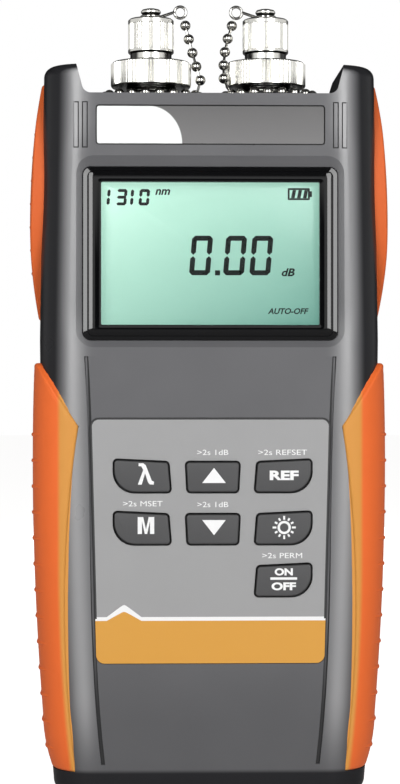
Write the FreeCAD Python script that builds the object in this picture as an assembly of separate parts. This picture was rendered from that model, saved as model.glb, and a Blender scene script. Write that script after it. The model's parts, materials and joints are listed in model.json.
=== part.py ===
import FreeCAD, Part
import math
import os

from FreeCAD import Vector

# Handheld variable optical attenuator, in millimetres.
# +X is to the right of the user, -Y faces the user, +Z points to the fibre ports.
# The origin is at the middle of the bottom end, on which the case stands.

# Case
case_depth = 33.0
corner_radius = 9.5          # long edges of the case
bottom_fillet = 3.0
wall = 2.2
inner_bevel = 5.0            # flat corners of the inside
side_margin = 11.7           # keypad panel's upper corner to the case's widest side
bottom_taper = 3.4           # how far the side lies inside its widest place, from the bottom up
low_taper = 1.8
middle_taper = 0.6
top_taper = 1.0
low_z = 20.0
middle_z = 57.0
overrun = 1.0                # how far a cutting tool passes the face that it cuts

# Horns beside the fibre ports
horn_rise = 6.8
horn_fillet = 2.4
horn_width = 9.3             # foot of a horn, from the notch to the case's side
horn_taper = 1.8             # how much narrower a horn is at its top
notch_fillet = 2.0

# Keys
key_proud = 0.9
key_travel = 0.8
key_gap = 0.3
key_height = 8.0
side_key_width = 13.1
middle_key_width = 12.2
key_small_radius = 0.7
key_big_radius = 4.4
key_slope = 0.6              # fall of a side key's top edge
key_draft = 0.4              # how much narrower a middle key is at its lower edge
key_edge_chamfer = 0.35
key_column_gap = 3.15
key_row_gap = 3.7
key_shift = 0.5              # middle column's place across the case
key_flange = 1.0
key_flange_thickness = 1.0
stem_width = 2.8
stem_entry = 0.3             # how far a stem reaches into its switch at rest

# Keypad panel
panel_bottom_z = 30.1
panel_foot = 18.8            # panel's lower edge to the middle of the lowest row of keys
panel_head = 12.8            # middle of the top row to the panel's upper edge
panel_side = 4.65            # side column's outer edge to the panel's upper corner
panel_taper = 1.4
panel_corner = 1.9
panel_thickness = 0.5
panel_sink = 0.35
panel_gap = 0.15

# Engraved lines beside the keypad panel
groove_width = 0.9
groove_depth = 0.6
groove_margin = 0.9          # panel's upper corner to a line's upper end, across the case
groove_rise = 13.9           # above the panel's upper edge
groove_bend_z = 40.0
groove_bend_inset = 1.6      # inside the line's upper end
groove_low_z = 25.0
groove_low_inset = 2.25
groove_end_z = 7.4
groove_end_inset = 3.8

# Display window, measured down from the top face
lens_width = 57.4
lens_height = 38.9
lens_thickness = 2.0
lens_corner = 1.8
lens_bevel = 0.8
lens_gap = 0.15
lens_lift = 17.6             # keypad panel's upper edge to the lens's lower edge
lens_drop = 16.6             # top face to the lens's top edge
lens_sink = 0.5
recess_depth = 1.2
recess_side = 1.8
recess_above = 2.9
recess_below = 1.9
recess_corner = 4.5
lens_ledge = 1.2
lens_rim = 2.0
rim_set = 0.1                # how far the rim behind the recess starts below its floor
recess_lead = 0.2            # how far the recess's slope starts in front of the case

# Display behind the window
glass_side_inset = 1.4       # inside the lens's edge
glass_end_inset = 0.75
glass_overlap = 1.3          # how far the glass reaches behind the ledge
glass_thickness = 2.2
glass_corner = 0.5
display_frame_rim = 1.4
glass_gap = 0.1

# Name plate and engraved bars at the top of the front
plate_width = 51.0
plate_height = 8.4
plate_corner = 0.5
plate_thickness = 0.5
plate_sink = 0.6
plate_gap = 0.3
plate_drop = 2.7             # top face to the name plate's pocket
bar_length = 9.9
bar_width = 0.8
bar_outline = 0.25
bar_depth = 0.4
bar_margin = 2.7             # name plate to the nearer bar's middle
bar_pitch = 2.0

# Main board and the bosses that carry it
board_set = 10.4             # case front to the board's front
board_thickness = 1.6
board_side_gap = 4.7
board_bottom_z = 22.0
board_top_drop = 10.2
boss_inset = 3.8             # inside the board's edge
boss_low_z = 30.0
boss_top_drop = 10.2
boss_radius = 3.2
boss_foot = 1.2
boss_hole_gap = 0.3

# Case screws
screw_radius = 1.45
screw_head_radius = 2.7
screw_head_height = 2.0
screw_length = 9.0
screw_gap = 0.05
screw_head_gap = 0.3
screw_floor = 2.2            # rear boss left under a screw head

# Key switches
switch_size = 6.0
switch_height = 3.4
switch_gap = 0.25
switch_spare = 0.2           # depth left under a stem that is pressed home

# Cells and their bay
cell_radius = 7.1
cell_length = 49.2
cell_nub_radius = 2.7
cell_nub_length = 1.3
cell_gap = 0.4               # between two cells
cell_clearance = 0.15
bay_wall = 1.4
bay_bottom_z = 14.0
contact_thickness = 0.4
contact_width = 9.0
contact_fold_width = 4.0
contact_rise = 0.6

# Battery door
door_thickness = 2.0
door_gap = 0.25
door_margin = 0.9            # door beyond the bay's outer wall
door_corner = 1.5
door_bottom_z = 8.0
door_seat_gap = 0.1
door_ledge = 1.3             # rim behind the opening's edge, on which the door lies
door_tab_width = 7.0
door_tab_x = 13.0
door_tab_length = 2.4
door_tab_thickness = 1.2
door_tab_gap = 0.25
door_tab_root = 1.5
door_pull_radius = 7.0
door_pull_depth = 0.9
door_pull_drop = 9.0

# Soft grips, let into the case
grip_pocket = 1.0
pocket_bevel = 5.0           # flat corners under the grips
grip_face_rise = 0.45        # above the front and rear faces
grip_corner = 10.0
grip_steps = 3               # straight steps in each side of a grip's swell
grip_gap = 11.2              # between the tips of the upper and lower grips
upper_grip_stand_top = 0.5   # outside the case's side
upper_grip_stand_crown = 2.25
upper_grip_stand_tip = 0.3
upper_grip_top_rise = 3.4    # above the top face
upper_grip_crown_rise = 21.6 # above the grip's tip
upper_grip_belly_rise = 30.8
upper_grip_reach = 10.2      # from the middle of the case to the grip's edge
upper_grip_end_reach = 4.0
upper_grip_tip_reach = 1.2
lower_grip_stand_end = 0.1
lower_grip_stand_heel = 1.1
lower_grip_stand_crown = 1.65
lower_grip_stand_top = 0.9
lower_grip_end_z = 5.6
lower_grip_heel_z = 18.0
lower_grip_tip_rise = 11.1   # above the keypad panel's upper edge
lower_grip_peak_drop = 12.9  # below the tip
lower_grip_crown_drop = 7.3  # below the peak
lower_grip_peak_width = 9.1  # from the case's side to the grip's inner edge
lower_grip_hollow_width = 5.2
lower_grip_end_width = 4.9

# Cross ribs on the grips
rib_rise = 0.35
rib_width = 0.8
rib_reach = 13.2             # from the middle of the case to a rib's end
rib_wrap = 2.8               # how far a rib's end reaches round the corner
upper_rib_drop = 8.0         # top face to the highest rib
upper_rib_pitch = 5.33
upper_rib_stop = 8.0         # least height of a rib above the grip's tip
lower_rib_drop = 2.0         # grip's peak to the highest rib
lower_rib_pitch = 5.9
lower_rib_stop = 3.0

# Power socket in the left side's dish
jack_rise = 6.6              # lower grips' tips to the socket's axis
jack_size = 9.0
jack_length = 13.0
jack_nose_radius = 3.2
jack_bore_radius = 2.75
jack_pin_radius = 1.0
jack_pin_depth = 9.0
jack_gap = 0.2
dish_radius = 4.15
dish_depth = 0.75

# Fibre ports
port_pitch = 26.6
neck_radius = 5.8
neck_top_rise = 7.5          # above the top face
neck_bore_radius = 3.5
flange_radius = 8.0
flange_thickness = 2.0
flange_clearance = 0.1
holder_gap = 0.05
holder_length = 13.0
holder_collar_radius = 4.4
ferrule_radius = 1.25
ferrule_rise = 12.8          # above the top face
ferrule_seat = 8.0

# Adapter heads, held down by the knurled nuts
head_flange_thickness = 0.6
head_flange_radius = 5.7
shoulder_radius = 4.8
shoulder_rise = 11.2         # above the top face
thread_radius = 4.0
thread_length = 6.6
head_mouth_radius = 2.6
head_mouth_depth = 4.4
sleeve_radius = 1.65
sleeve_gap = 0.04
sleeve_slot = 0.4
sleeve_floor = 0.5
ferrule_gap = 0.03
key_slot_width = 2.1

# Knurled nuts
nut_radius = 9.3
nut_bottom_rise = 4.0        # above the top face
nut_lip = 1.0
nut_gap = 0.06
nut_rim = 0.6

# Dust caps
cap_radius = 5.3
cap_length = 8.0
cap_top = 1.2
cap_gap = 0.06
cap_edge = 0.6
post_radius = 1.3
post_length = 1.2
post_head_radius = 2.3
post_head_height = 1.3
post_head_taper = 0.9

# Wire rings that join the caps to their chains
ring_wire = 0.4
ring_radius = 2.15
eye_wire = 0.35
eye_radius = 1.35
eye_reach = 6.8
eye_rise = 1.1               # eye's centre above the ring

# Bead chains
bead_radius = 1.2
bead_pitch = 3.2
bead_sides = 6
bead_flat = 0.45
bead_end_radius = 0.6
link_width = 0.6
hanging_bead_count = 5
upper_bead_count = 3
loop_lift = 0.1
loop_gap = 0.3               # lowest hanging bead above the loop's beads
chain_gap = 0.15             # between a ring's eye and the first bead

# Attenuator module, fibre spool and pigtails
module_width = 40.0
module_height = 22.0
module_depth = 10.0
module_drop = 35.0           # top face to the module's middle
module_edge = 0.8
module_port_x = 9.0
module_port_radius = 1.4
module_port_length = 3.0
spool_radius = 19.0
spool_hub_radius = 12.5
spool_rim = 1.0
spool_depth = 6.0
spool_lift = 0.25            # battery bay's rim to the spool
spool_bore_radius = 9.0
coil_gap = 0.3
coil_inset = 1.5             # inside the spool's rim
pigtail_radius = 0.45
pigtail_run = 4.2

# Places worked out from the sizes above
key_column_pitch = (side_key_width + middle_key_width) / 2 + key_column_gap
key_row_pitch = key_height + key_row_gap
low_row_z = panel_bottom_z + panel_foot
top_row_z = low_row_z + 2 * key_row_pitch
panel_top_z = top_row_z + panel_head
panel_half_top = key_column_pitch + side_key_width / 2 + panel_side
panel_half_bottom = panel_half_top - panel_taper
groove_top_x = panel_half_top + groove_margin
groove_top_z = panel_top_z + groove_rise
waist_z = panel_top_z + lens_lift
lens_z = waist_z + lens_height / 2
case_length = waist_z + lens_height + lens_drop
half_width_waist = panel_half_top + side_margin
half_width_bottom = half_width_waist - bottom_taper
half_width_low = half_width_waist - low_taper
half_width_middle = half_width_waist - middle_taper
half_width_top = half_width_waist - top_taper
notch_half_floor = half_width_top - horn_width
notch_half_top = notch_half_floor + horn_taper
middle_y = (key_proud - grip_face_rise) / 2
front_y = middle_y - case_depth / 2
rear_y = middle_y + case_depth / 2
case_top = case_length + horn_rise
half_depth = case_depth / 2
glass_width = lens_width - 2 * glass_side_inset
glass_height = lens_height - 2 * glass_end_inset
aperture_width = glass_width - 2 * glass_overlap
aperture_height = glass_height - 2 * glass_overlap
glass_front_y = front_y + lens_sink + lens_thickness + lens_ledge
bar_inner_x = plate_width / 2 + bar_margin
board_half_width = half_width_waist - wall - board_side_gap
boss_x = board_half_width - boss_inset
board_front_y = front_y + board_set
board_rear_y = board_front_y + board_thickness
inner_front_y = front_y + wall
inner_rear_y = rear_y - wall
panel_front_y = front_y + panel_sink - panel_thickness
bay_half = 1.5 * (2 * cell_radius) + cell_gap + cell_clearance
bay_height = cell_length + cell_nub_length + 2 * (contact_thickness + contact_rise)
door_inner_y = rear_y - door_thickness
cell_y = door_inner_y - door_seat_gap - cell_clearance - cell_radius
bay_floor_y = cell_y - cell_radius - cell_clearance
switch_front_y = board_front_y - switch_height
lower_grip_tip_z = panel_top_z + lower_grip_tip_rise
lower_grip_peak_z = lower_grip_tip_z - lower_grip_peak_drop
lower_grip_crown_z = lower_grip_peak_z - lower_grip_crown_drop
lower_grip_peak_x = half_width_waist - lower_grip_peak_width
lower_grip_hollow_x = half_width_middle - lower_grip_hollow_width
lower_grip_end_x = half_width_bottom - lower_grip_end_width
upper_grip_tip_z = lower_grip_tip_z + grip_gap
upper_grip_top_z = case_length + upper_grip_top_rise
grip_outside = half_width_waist + 2 * upper_grip_stand_crown
jack_z = lower_grip_tip_z + jack_rise
neck_top = case_length + neck_top_rise
head_flange_top = neck_top + head_flange_thickness
shoulder_top = case_length + shoulder_rise
thread_top = shoulder_top + thread_length
cap_top_z = shoulder_top + cap_length
ring_z = cap_top_z + post_length / 2
eye_z = ring_z + eye_rise
loop_z = case_length + bead_radius + loop_lift
nut_top = head_flange_top + nut_lip
holder_bottom = case_length - wall - flange_thickness - holder_length + ferrule_seat
module_z = case_length - module_drop
module_y = board_rear_y + module_depth / 2
door_top_z = bay_bottom_z + bay_height + bay_wall + door_margin
spool_z = door_top_z + door_gap + door_ledge + spool_lift + spool_radius
boss_places = [
    (side * boss_x, z)
    for side in (-1, 1)
    for z in (boss_low_z, case_length - boss_top_drop)
]
case_stations = [
    (0.0, half_width_bottom),
    (low_z, half_width_low),
    (middle_z, half_width_middle),
    (waist_z, half_width_waist),
    (case_top, half_width_top),
]


# Drawing helpers

def on_xz(y):
    return lambda u, v: Vector(u, y, v)


def on_xy(z):
    return lambda u, v: Vector(u, v, z)


def on_yz(x):
    return lambda u, v: Vector(x, u, v)


def rounded_outline(points, radii, place):
    """Closed wire through the corner points, each corner rounded by its own radius."""
    stops = []
    for i, (x, y) in enumerate(points):
        px, py = points[i - 1]
        nx, ny = points[(i + 1) % len(points)]
        before = Vector(px - x, py - y, 0).normalize()
        after = Vector(nx - x, ny - y, 0).normalize()
        half = before.getAngle(after) / 2
        middle = (before + after).normalize()
        corner = Vector(x, y, 0)
        radius = radii[i]
        reach = radius / math.tan(half)
        stops.append((
            corner + before * reach,
            corner + middle * (radius / math.sin(half) - radius),
            corner + after * reach,
            radius,
        ))
    edges = []
    for i, (start, mid, end, radius) in enumerate(stops):
        if radius > 0:
            bend = Part.Arc(place(start.x, start.y), place(mid.x, mid.y), place(end.x, end.y))
            edges.append(bend.toShape())
        following = stops[(i + 1) % len(stops)][0]
        if end.distanceToPoint(following) > 1e-6:
            edges.append(Part.makeLine(place(end.x, end.y), place(following.x, following.y)))
    return Part.Wire(edges)


def rectangle(width, height, radius, place, centre=(0.0, 0.0)):
    cx, cy = centre
    corners = [
        (cx - width / 2, cy - height / 2),
        (cx + width / 2, cy - height / 2),
        (cx + width / 2, cy + height / 2),
        (cx - width / 2, cy + height / 2),
    ]
    return rounded_outline(corners, [radius] * 4, place)


def prism(wire, travel):
    return Part.Face(wire).extrude(travel)


def block(low, high):
    size = Vector(*high) - Vector(*low)
    return Part.makeBox(size.x, size.y, size.z, Vector(*low))


def disc(radius, height, base, direction=Vector(0, 0, 1)):
    return Part.makeCylinder(radius, height, Vector(*base), direction)


def ring(outer, inner, height, base, direction=Vector(0, 0, 1)):
    return disc(outer, height, base, direction).cut(disc(inner, height, base, direction))


def turned(profile, base, direction=Vector(0, 0, 1)):
    """Solid of revolution: profile is a list of (radius, height) corners about +Z."""
    points = [Vector(r, 0, h) for r, h in profile]
    face = Part.Face(Part.makePolygon(points + [points[0]]))
    solid = face.revolve(Vector(0, 0, 0), Vector(0, 0, 1), 360)
    turn = FreeCAD.Rotation(Vector(0, 0, 1), direction)
    solid.Placement = FreeCAD.Placement(Vector(*base), turn)
    return solid


def fused(shapes):
    whole = shapes[0]
    if len(shapes) > 1:
        whole = whole.fuse(shapes[1:])
    return whole.removeSplitter()


def sorted_wire(edges):
    return Part.Wire(Part.sortEdges(edges)[0])


def mirrored(shape):
    return shape.mirror(Vector(0, 0, 0), Vector(1, 0, 0))


def edges_at_height(shape, z):
    return [e for e in shape.Edges if all(abs(v.Z - z) < 1e-4 for v in e.Vertexes)]


def bezier_point(start, control, end, t):
    return start * (1 - t) ** 2 + control * (2 * t * (1 - t)) + end * t ** 2


# Case

def joint_height(stations, i, inner_x):
    """Height at inner_x of the joint between two spans, a line from the side that halves their angle."""
    z, half = stations[i]
    if i in (0, len(stations) - 1):
        return z
    (before_z, before_half), (after_z, after_half) = stations[i - 1], stations[i + 1]
    below = Vector(half - before_half, 0, z - before_z).normalize()
    above = Vector(after_half - half, 0, after_z - z).normalize()
    along = below + above
    return z + (half - inner_x) * along.x / along.z


def rounded_edges(solid, edges, size):
    return solid.makeFillet(size, edges)


def flat_edges(solid, edges, size):
    return solid.makeChamfer(size, edges)


def side_skin(stations, growth, depth_growth, corner, finish=rounded_edges, inner_x=0.0):
    """Right part of a body whose side leans from one station's half width to the next."""
    grown = [(z, half + growth) for z, half in stations]
    joints = [joint_height(grown, i, inner_x) for i in range(len(grown))]
    reach = half_depth + depth_growth
    spans = []
    for i in range(len(grown) - 1):
        (low, low_half), (high, high_half) = grown[i], grown[i + 1]
        corners = [(inner_x, joints[i]), (low_half, low), (high_half, high), (inner_x, joints[i + 1])]
        span = prism(rounded_outline(corners, [0] * 4, on_xz(middle_y - reach)), Vector(0, 2 * reach, 0))
        long_edges = [
            e for e in span.Edges
            if min(v.X for v in e.Vertexes) > (inner_x + low_half) / 2 and e.BoundBox.YLength < reach
        ]
        spans.append(finish(span, long_edges, corner))
    return fused(spans)


def case_skin(growth, corner, finish=rounded_edges):
    right = side_skin(case_stations, growth, growth, corner, finish)
    return fused([right, mirrored(right)])


def notch_tool(clearance):
    floor = case_length - clearance
    side = notch_half_floor + clearance
    top = case_top + overrun
    lean = (notch_half_top - notch_half_floor) / horn_rise
    reach = side + lean * (top - floor)
    corners = [(-reach, top), (-side, floor), (side, floor), (reach, top)]
    wire = rounded_outline(corners, [0, notch_fillet, notch_fillet, 0], on_xz(front_y - overrun))
    return prism(wire, Vector(0, case_depth + 2 * overrun, 0))


def case_body():
    body = case_skin(0.0, corner_radius)
    body = body.makeFillet(bottom_fillet, edges_at_height(body, 0.0))
    body = body.makeFillet(horn_fillet, edges_at_height(body, case_top))
    return body.cut(notch_tool(0.0))


def case_cavity():
    body = case_skin(-wall, inner_bevel, flat_edges)
    low = (-2 * half_width_waist, front_y, wall)
    high = (2 * half_width_waist, rear_y, case_top - wall)
    return body.common(block(low, high)).cut(notch_tool(wall))


def port_holes():
    holes = []
    for side in (-1, 1):
        base = (side * port_pitch / 2, middle_y, case_length - 2 * wall)
        holes.append(disc(neck_radius, 3 * wall, base))
    return holes


def jack_hole():
    face = -half_width_waist
    axis_start = (face - overrun, middle_y, jack_z)
    dish = disc(dish_radius, overrun + dish_depth, axis_start, Vector(1, 0, 0))
    hole = disc(jack_nose_radius + jack_gap, overrun + 2 * wall, axis_start, Vector(1, 0, 0))
    return [dish, hole]


def lower_grip_region():
    """What the right lower grip covers, seen from the front."""
    place = on_xz(front_y - overrun)
    peak = place(lower_grip_peak_x, lower_grip_peak_z)
    hollow = place(lower_grip_hollow_x, (lower_grip_peak_z + lower_grip_end_z) / 2)
    end = place(lower_grip_end_x, lower_grip_end_z)
    lean = lower_grip_peak_drop / lower_grip_peak_width
    outer_end = place(grip_outside, lower_grip_end_z)
    outer_top = place(grip_outside, lower_grip_peak_z + lean * (grip_outside - lower_grip_peak_x))
    lines = [
        Part.Arc(peak, hollow, end).toShape(),
        Part.makeLine(end, outer_end),
        Part.makeLine(outer_end, outer_top),
        Part.makeLine(outer_top, peak),
    ]
    return prism(Part.Wire(lines), Vector(0, case_depth + 2 * overrun, 0))


def upper_grip_region():
    """What the right upper grip covers, seen from the side."""
    place = on_yz(notch_half_floor)
    top, tip = upper_grip_top_z, upper_grip_tip_z
    belly = tip + upper_grip_belly_rise
    edges = []
    for side in (-1, 1):
        start = place(middle_y + side * upper_grip_end_reach, top)
        mid = place(middle_y + side * upper_grip_reach, belly)
        end = place(middle_y + side * upper_grip_tip_reach, tip)
        edges.append(Part.Arc(start, mid, end).toShape())
    left, right = upper_grip_end_reach, upper_grip_tip_reach
    edges.append(Part.makeLine(place(middle_y - left, top), place(middle_y + left, top)))
    edges.append(Part.makeLine(place(middle_y - right, tip), place(middle_y + right, tip)))
    wire = sorted_wire(edges)
    return prism(wire, Vector(grip_outside - notch_half_floor, 0, 0))


def grip_core():
    """Right half of the body that the pockets for the grips leave."""
    return side_skin(case_stations, -grip_pocket, -grip_pocket, pocket_bevel, flat_edges)


def swell(start, end, level):
    """Stations on a parabola from start to end; level says which of the two is its crest."""
    stations = []
    for i in range(grip_steps + 1):
        t = i / grip_steps
        share = t * t if level == "start" else 1 - (1 - t) ** 2
        z = start[0] + (end[0] - start[0]) * t
        stations.append((z, start[1] + (end[1] - start[1]) * share))
    return stations


def upper_grip_stations():
    tip = (upper_grip_tip_z - overrun, half_width_waist + upper_grip_stand_tip)
    crown = (upper_grip_tip_z + upper_grip_crown_rise, half_width_waist + upper_grip_stand_crown)
    top = (upper_grip_top_z + overrun, half_width_top + upper_grip_stand_top)
    return swell(tip, crown, "end") + swell(crown, top, "start")[1:]


def lower_grip_stations():
    end = (lower_grip_end_z - overrun, half_width_bottom + lower_grip_stand_end)
    heel = (lower_grip_heel_z, half_width_low + lower_grip_stand_heel)
    crown = (lower_grip_crown_z, half_width_waist + lower_grip_stand_crown)
    top = (lower_grip_tip_z + lower_grip_peak_width, half_width_waist + lower_grip_stand_top)
    return swell(end, heel, "end") + swell(heel, crown, "end")[1:] + [top]


def ribs(top_z, pitch, stop_z):
    """Slabs that leave the cross ribs where they meet the grip's raised skin."""
    slabs = []
    for i in range(int((top_z - stop_z) / pitch) + 1):
        z = top_z - i * pitch
        low = (half_width_bottom - rib_wrap, middle_y - rib_reach, z - rib_width / 2)
        high = (grip_outside, middle_y + rib_reach, z + rib_width / 2)
        slabs.append(block(low, high))
    return Part.makeCompound(slabs)


def grip(stations, region, core, slabs):
    root_x = half_width_bottom - grip_corner - overrun
    skin = side_skin(stations, 0.0, grip_face_rise, grip_corner, inner_x=root_x)
    raised = side_skin(stations, rib_rise, grip_face_rise, grip_corner, inner_x=root_x)
    body = skin.common(region)
    bars = raised.common(region).common(slabs)
    return body.fuse(bars.Solids).cut(core)


def grips():
    core = grip_core()
    upper = grip(
        upper_grip_stations(), upper_grip_region(), core,
        ribs(case_length - upper_rib_drop, upper_rib_pitch, upper_grip_tip_z + upper_rib_stop))
    lower = grip(
        lower_grip_stations(), lower_grip_region(), core,
        ribs(lower_grip_peak_z - lower_rib_drop, lower_rib_pitch, lower_grip_end_z + lower_rib_stop))
    return {
        "grip_upper_right": upper,
        "grip_upper_left": mirrored(upper),
        "grip_lower_right": lower,
        "grip_lower_left": mirrored(lower),
    }


def grip_pockets():
    core = grip_core()
    tools = []
    for region in (upper_grip_region(), lower_grip_region()):
        tool = region.cut(core)
        tools += [tool, mirrored(tool)]
    return tools


# Front of the case

def window_cuts():
    outer_z = lens_z + (recess_above - recess_below) / 2
    outer_width = lens_width + 2 * recess_side
    outer_height = lens_height + recess_above + recess_below
    pocket_width = lens_width + 2 * lens_gap
    pocket_height = lens_height + 2 * lens_gap
    outer = rectangle(outer_width, outer_height, recess_corner, on_xz(front_y - recess_lead), (0.0, outer_z))
    inner = rectangle(
        pocket_width, pocket_height, lens_corner + lens_gap, on_xz(front_y + recess_depth), (0.0, lens_z))
    slope = Part.makeLoft([outer, inner], True, True)
    lens_back = front_y + lens_sink + lens_thickness
    pocket = prism(
        rectangle(pocket_width, pocket_height, lens_corner + lens_gap, on_xz(front_y), (0.0, lens_z)),
        Vector(0, lens_back - front_y, 0))
    aperture = prism(
        rectangle(aperture_width, aperture_height, lens_corner, on_xz(front_y), (0.0, lens_z)),
        Vector(0, glass_front_y - front_y + overrun, 0))
    return [slope, pocket, aperture]


def window_rim():
    start = front_y + recess_depth + rim_set
    wire = rectangle(
        lens_width + 2 * lens_rim, lens_height + 2 * lens_rim, lens_corner + lens_rim,
        on_xz(start), (0.0, lens_z))
    return prism(wire, Vector(0, glass_front_y - start, 0))


def plate_z():
    return case_length - plate_drop - plate_gap - plate_height / 2


def plate_cut():
    wire = rectangle(
        plate_width + 2 * plate_gap, plate_height + 2 * plate_gap, plate_corner + plate_gap,
        on_xz(front_y - overrun), (0.0, plate_z()))
    return prism(wire, Vector(0, overrun + plate_sink, 0))


def bar_cuts():
    cuts = []
    for side in (-1, 1):
        for step in (0, 1):
            centre = (side * (bar_inner_x + step * bar_pitch), plate_z())
            place = on_xz(front_y - overrun)
            travel = Vector(0, overrun + bar_depth, 0)
            outer = rectangle(bar_width + 2 * bar_outline, bar_length + 2 * bar_outline, 0, place, centre)
            inner = rectangle(bar_width, bar_length, 0, place, centre)
            cuts.append(prism(outer, travel).cut(prism(inner, travel)))
    return cuts


def groove_line(offset):
    curve = Part.BSplineCurve()
    place = on_xz(front_y - overrun)
    top_x = groove_top_x + offset
    curve.interpolate([
        place(top_x, groove_top_z),
        place(top_x - groove_bend_inset, groove_bend_z),
        place(top_x - groove_low_inset, groove_low_z),
        place(top_x - groove_end_inset, groove_end_z),
    ])
    return curve.toShape()


def groove_cuts():
    place = on_xz(front_y - overrun)
    half = groove_width / 2
    end_x = groove_top_x - groove_end_inset
    edges = [
        groove_line(-half),
        groove_line(half),
        Part.makeLine(place(groove_top_x - half, groove_top_z), place(groove_top_x + half, groove_top_z)),
        Part.makeLine(place(end_x - half, groove_end_z), place(end_x + half, groove_end_z)),
    ]
    wire = sorted_wire(edges)
    right = prism(wire, Vector(0, overrun + groove_depth, 0))
    return [right, mirrored(right)]


def panel_outline(grow, y):
    corners = [
        (-panel_half_bottom - grow, panel_bottom_z - grow),
        (panel_half_bottom + grow, panel_bottom_z - grow),
        (panel_half_top + grow, panel_top_z + grow),
        (-panel_half_top - grow, panel_top_z + grow),
    ]
    return rounded_outline(corners, [panel_corner + grow] * 4, on_xz(y))


def key_outline(shape, centre, grow, y):
    """Key's edge seen from the front, or a line around it that lies outside it by grow."""
    cx, cz = centre
    half_height = key_height / 2
    width = middle_key_width if shape == "middle" else side_key_width
    half = width / 2
    small = 0 if grow else key_small_radius
    if shape == "middle":
        corners = [
            (-half + key_draft, -half_height),
            (half - key_draft, -half_height),
            (half, half_height),
            (-half, half_height),
        ]
        radii = [small] * 4
    else:
        corners = [
            (-half, -half_height),
            (half, -half_height),
            (half - key_slope, half_height - key_slope),
            (-half, half_height),
        ]
        radii = [key_big_radius + grow, small, small, small]
    if shape == "right":
        corners = [(-x, z) for x, z in corners]
    spread = [
        (cx + x + math.copysign(grow, x), cz + z + math.copysign(grow, z))
        for x, z in corners
    ]
    return rounded_outline(spread, radii, on_xz(y))


def key_places():
    """Name, shape and centre of each key."""
    left, middle, right = (key_shift + step * key_column_pitch for step in (-1, 0, 1))
    second_row = top_row_z - key_row_pitch
    return {
        "key_wavelength": ("left", (left, top_row_z)),
        "key_up": ("middle", (middle, top_row_z)),
        "key_reference": ("right", (right, top_row_z)),
        "key_memory": ("left", (left, second_row)),
        "key_down": ("middle", (middle, second_row)),
        "key_light": ("right", (right, second_row)),
        "key_power": ("right", (right, low_row_z)),
    }


def key_holes(start_y, depth):
    return [
        prism(key_outline(shape, centre, key_gap, start_y), Vector(0, depth, 0))
        for shape, centre in key_places().values()
    ]


def front_bosses():
    solids = []
    start = front_y + wall / 2
    for x, z in boss_places:
        foot = disc(boss_radius + boss_foot, board_front_y - start, (x, start, z), Vector(0, 1, 0))
        post = disc(boss_radius, middle_y - start, (x, start, z), Vector(0, 1, 0))
        solids += [foot, post]
    return solids


def front_half():
    reach = 2 * half_width_waist
    return block((-reach, front_y - overrun, -overrun), (reach, middle_y, case_top + overrun))


def rear_half():
    reach = 2 * half_width_waist
    return block((-reach, middle_y, -overrun), (reach, rear_y + overrun, case_top + overrun))


def front_shell(body, cavity, pockets):
    half = front_half()
    shell = body.common(half).cut(cavity.common(half))
    inside = body.common(half)
    added = [boss.common(inside) for boss in front_bosses()] + [window_rim()]
    shell = shell.fuse(added)
    pilots = [
        disc(screw_radius + screw_gap, screw_length, (x, middle_y, z), Vector(0, -1, 0))
        for x, z in boss_places
    ]
    panel_pocket = prism(panel_outline(panel_gap, front_y - 1), Vector(0, overrun + panel_sink, 0))
    cuts = window_cuts() + bar_cuts() + groove_cuts() + pilots + pockets + port_holes() + jack_hole()
    cuts += [plate_cut(), panel_pocket]
    cuts += key_holes(front_y - overrun, wall + 2 * overrun)
    return shell.cut(cuts)


# Rear of the case

def bay_box(grow):
    low = (-bay_half - grow, bay_floor_y - grow, bay_bottom_z - grow)
    high = (bay_half + grow, door_inner_y - door_seat_gap, bay_bottom_z + bay_height + grow)
    return block(low, high)


def door_outline(grow, y):
    half = bay_half + bay_wall + door_margin + grow
    low = door_bottom_z - grow
    high = door_top_z + grow
    corners = [(-half, low), (half, low), (half, high), (-half, high)]
    return rounded_outline(corners, [door_corner] * 4, on_xz(y))


def door_rim():
    """Ledge on the bay's two sides and top, which joins the bay to the rear wall."""
    half = bay_half + bay_wall + door_margin + door_gap + door_ledge
    seat = door_inner_y - door_seat_gap
    low = (-half, seat - door_ledge, bay_bottom_z - bay_wall)
    high = (half, seat, door_top_z + door_gap + door_ledge)
    return block(low, high)


def rear_bosses():
    return [
        disc(boss_radius, inner_rear_y + wall / 2 - middle_y, (x, middle_y, z), Vector(0, 1, 0))
        for x, z in boss_places
    ]


def screw_holes():
    cuts = []
    for x, z in boss_places:
        head_y = middle_y + screw_floor
        cuts.append(disc(screw_radius + screw_gap, case_depth, (x, middle_y - 1, z), Vector(0, 1, 0)))
        cuts.append(disc(screw_head_radius + screw_head_gap, case_depth, (x, head_y, z), Vector(0, 1, 0)))
    return cuts


def rear_shell(body, cavity, pockets):
    half = rear_half()
    shell = body.common(half).cut(cavity.common(half))
    inside = body.common(half)
    opening = prism(door_outline(door_gap, inner_rear_y - 0.5), Vector(0, wall + 1, 0))
    added = [boss.common(inside) for boss in rear_bosses()]
    shell = shell.fuse(added).cut([opening])
    shell = shell.fuse([bay_box(bay_wall), door_rim()])
    return shell.cut([bay_box(0.0)] + screw_holes() + pockets + port_holes() + jack_hole())


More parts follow.
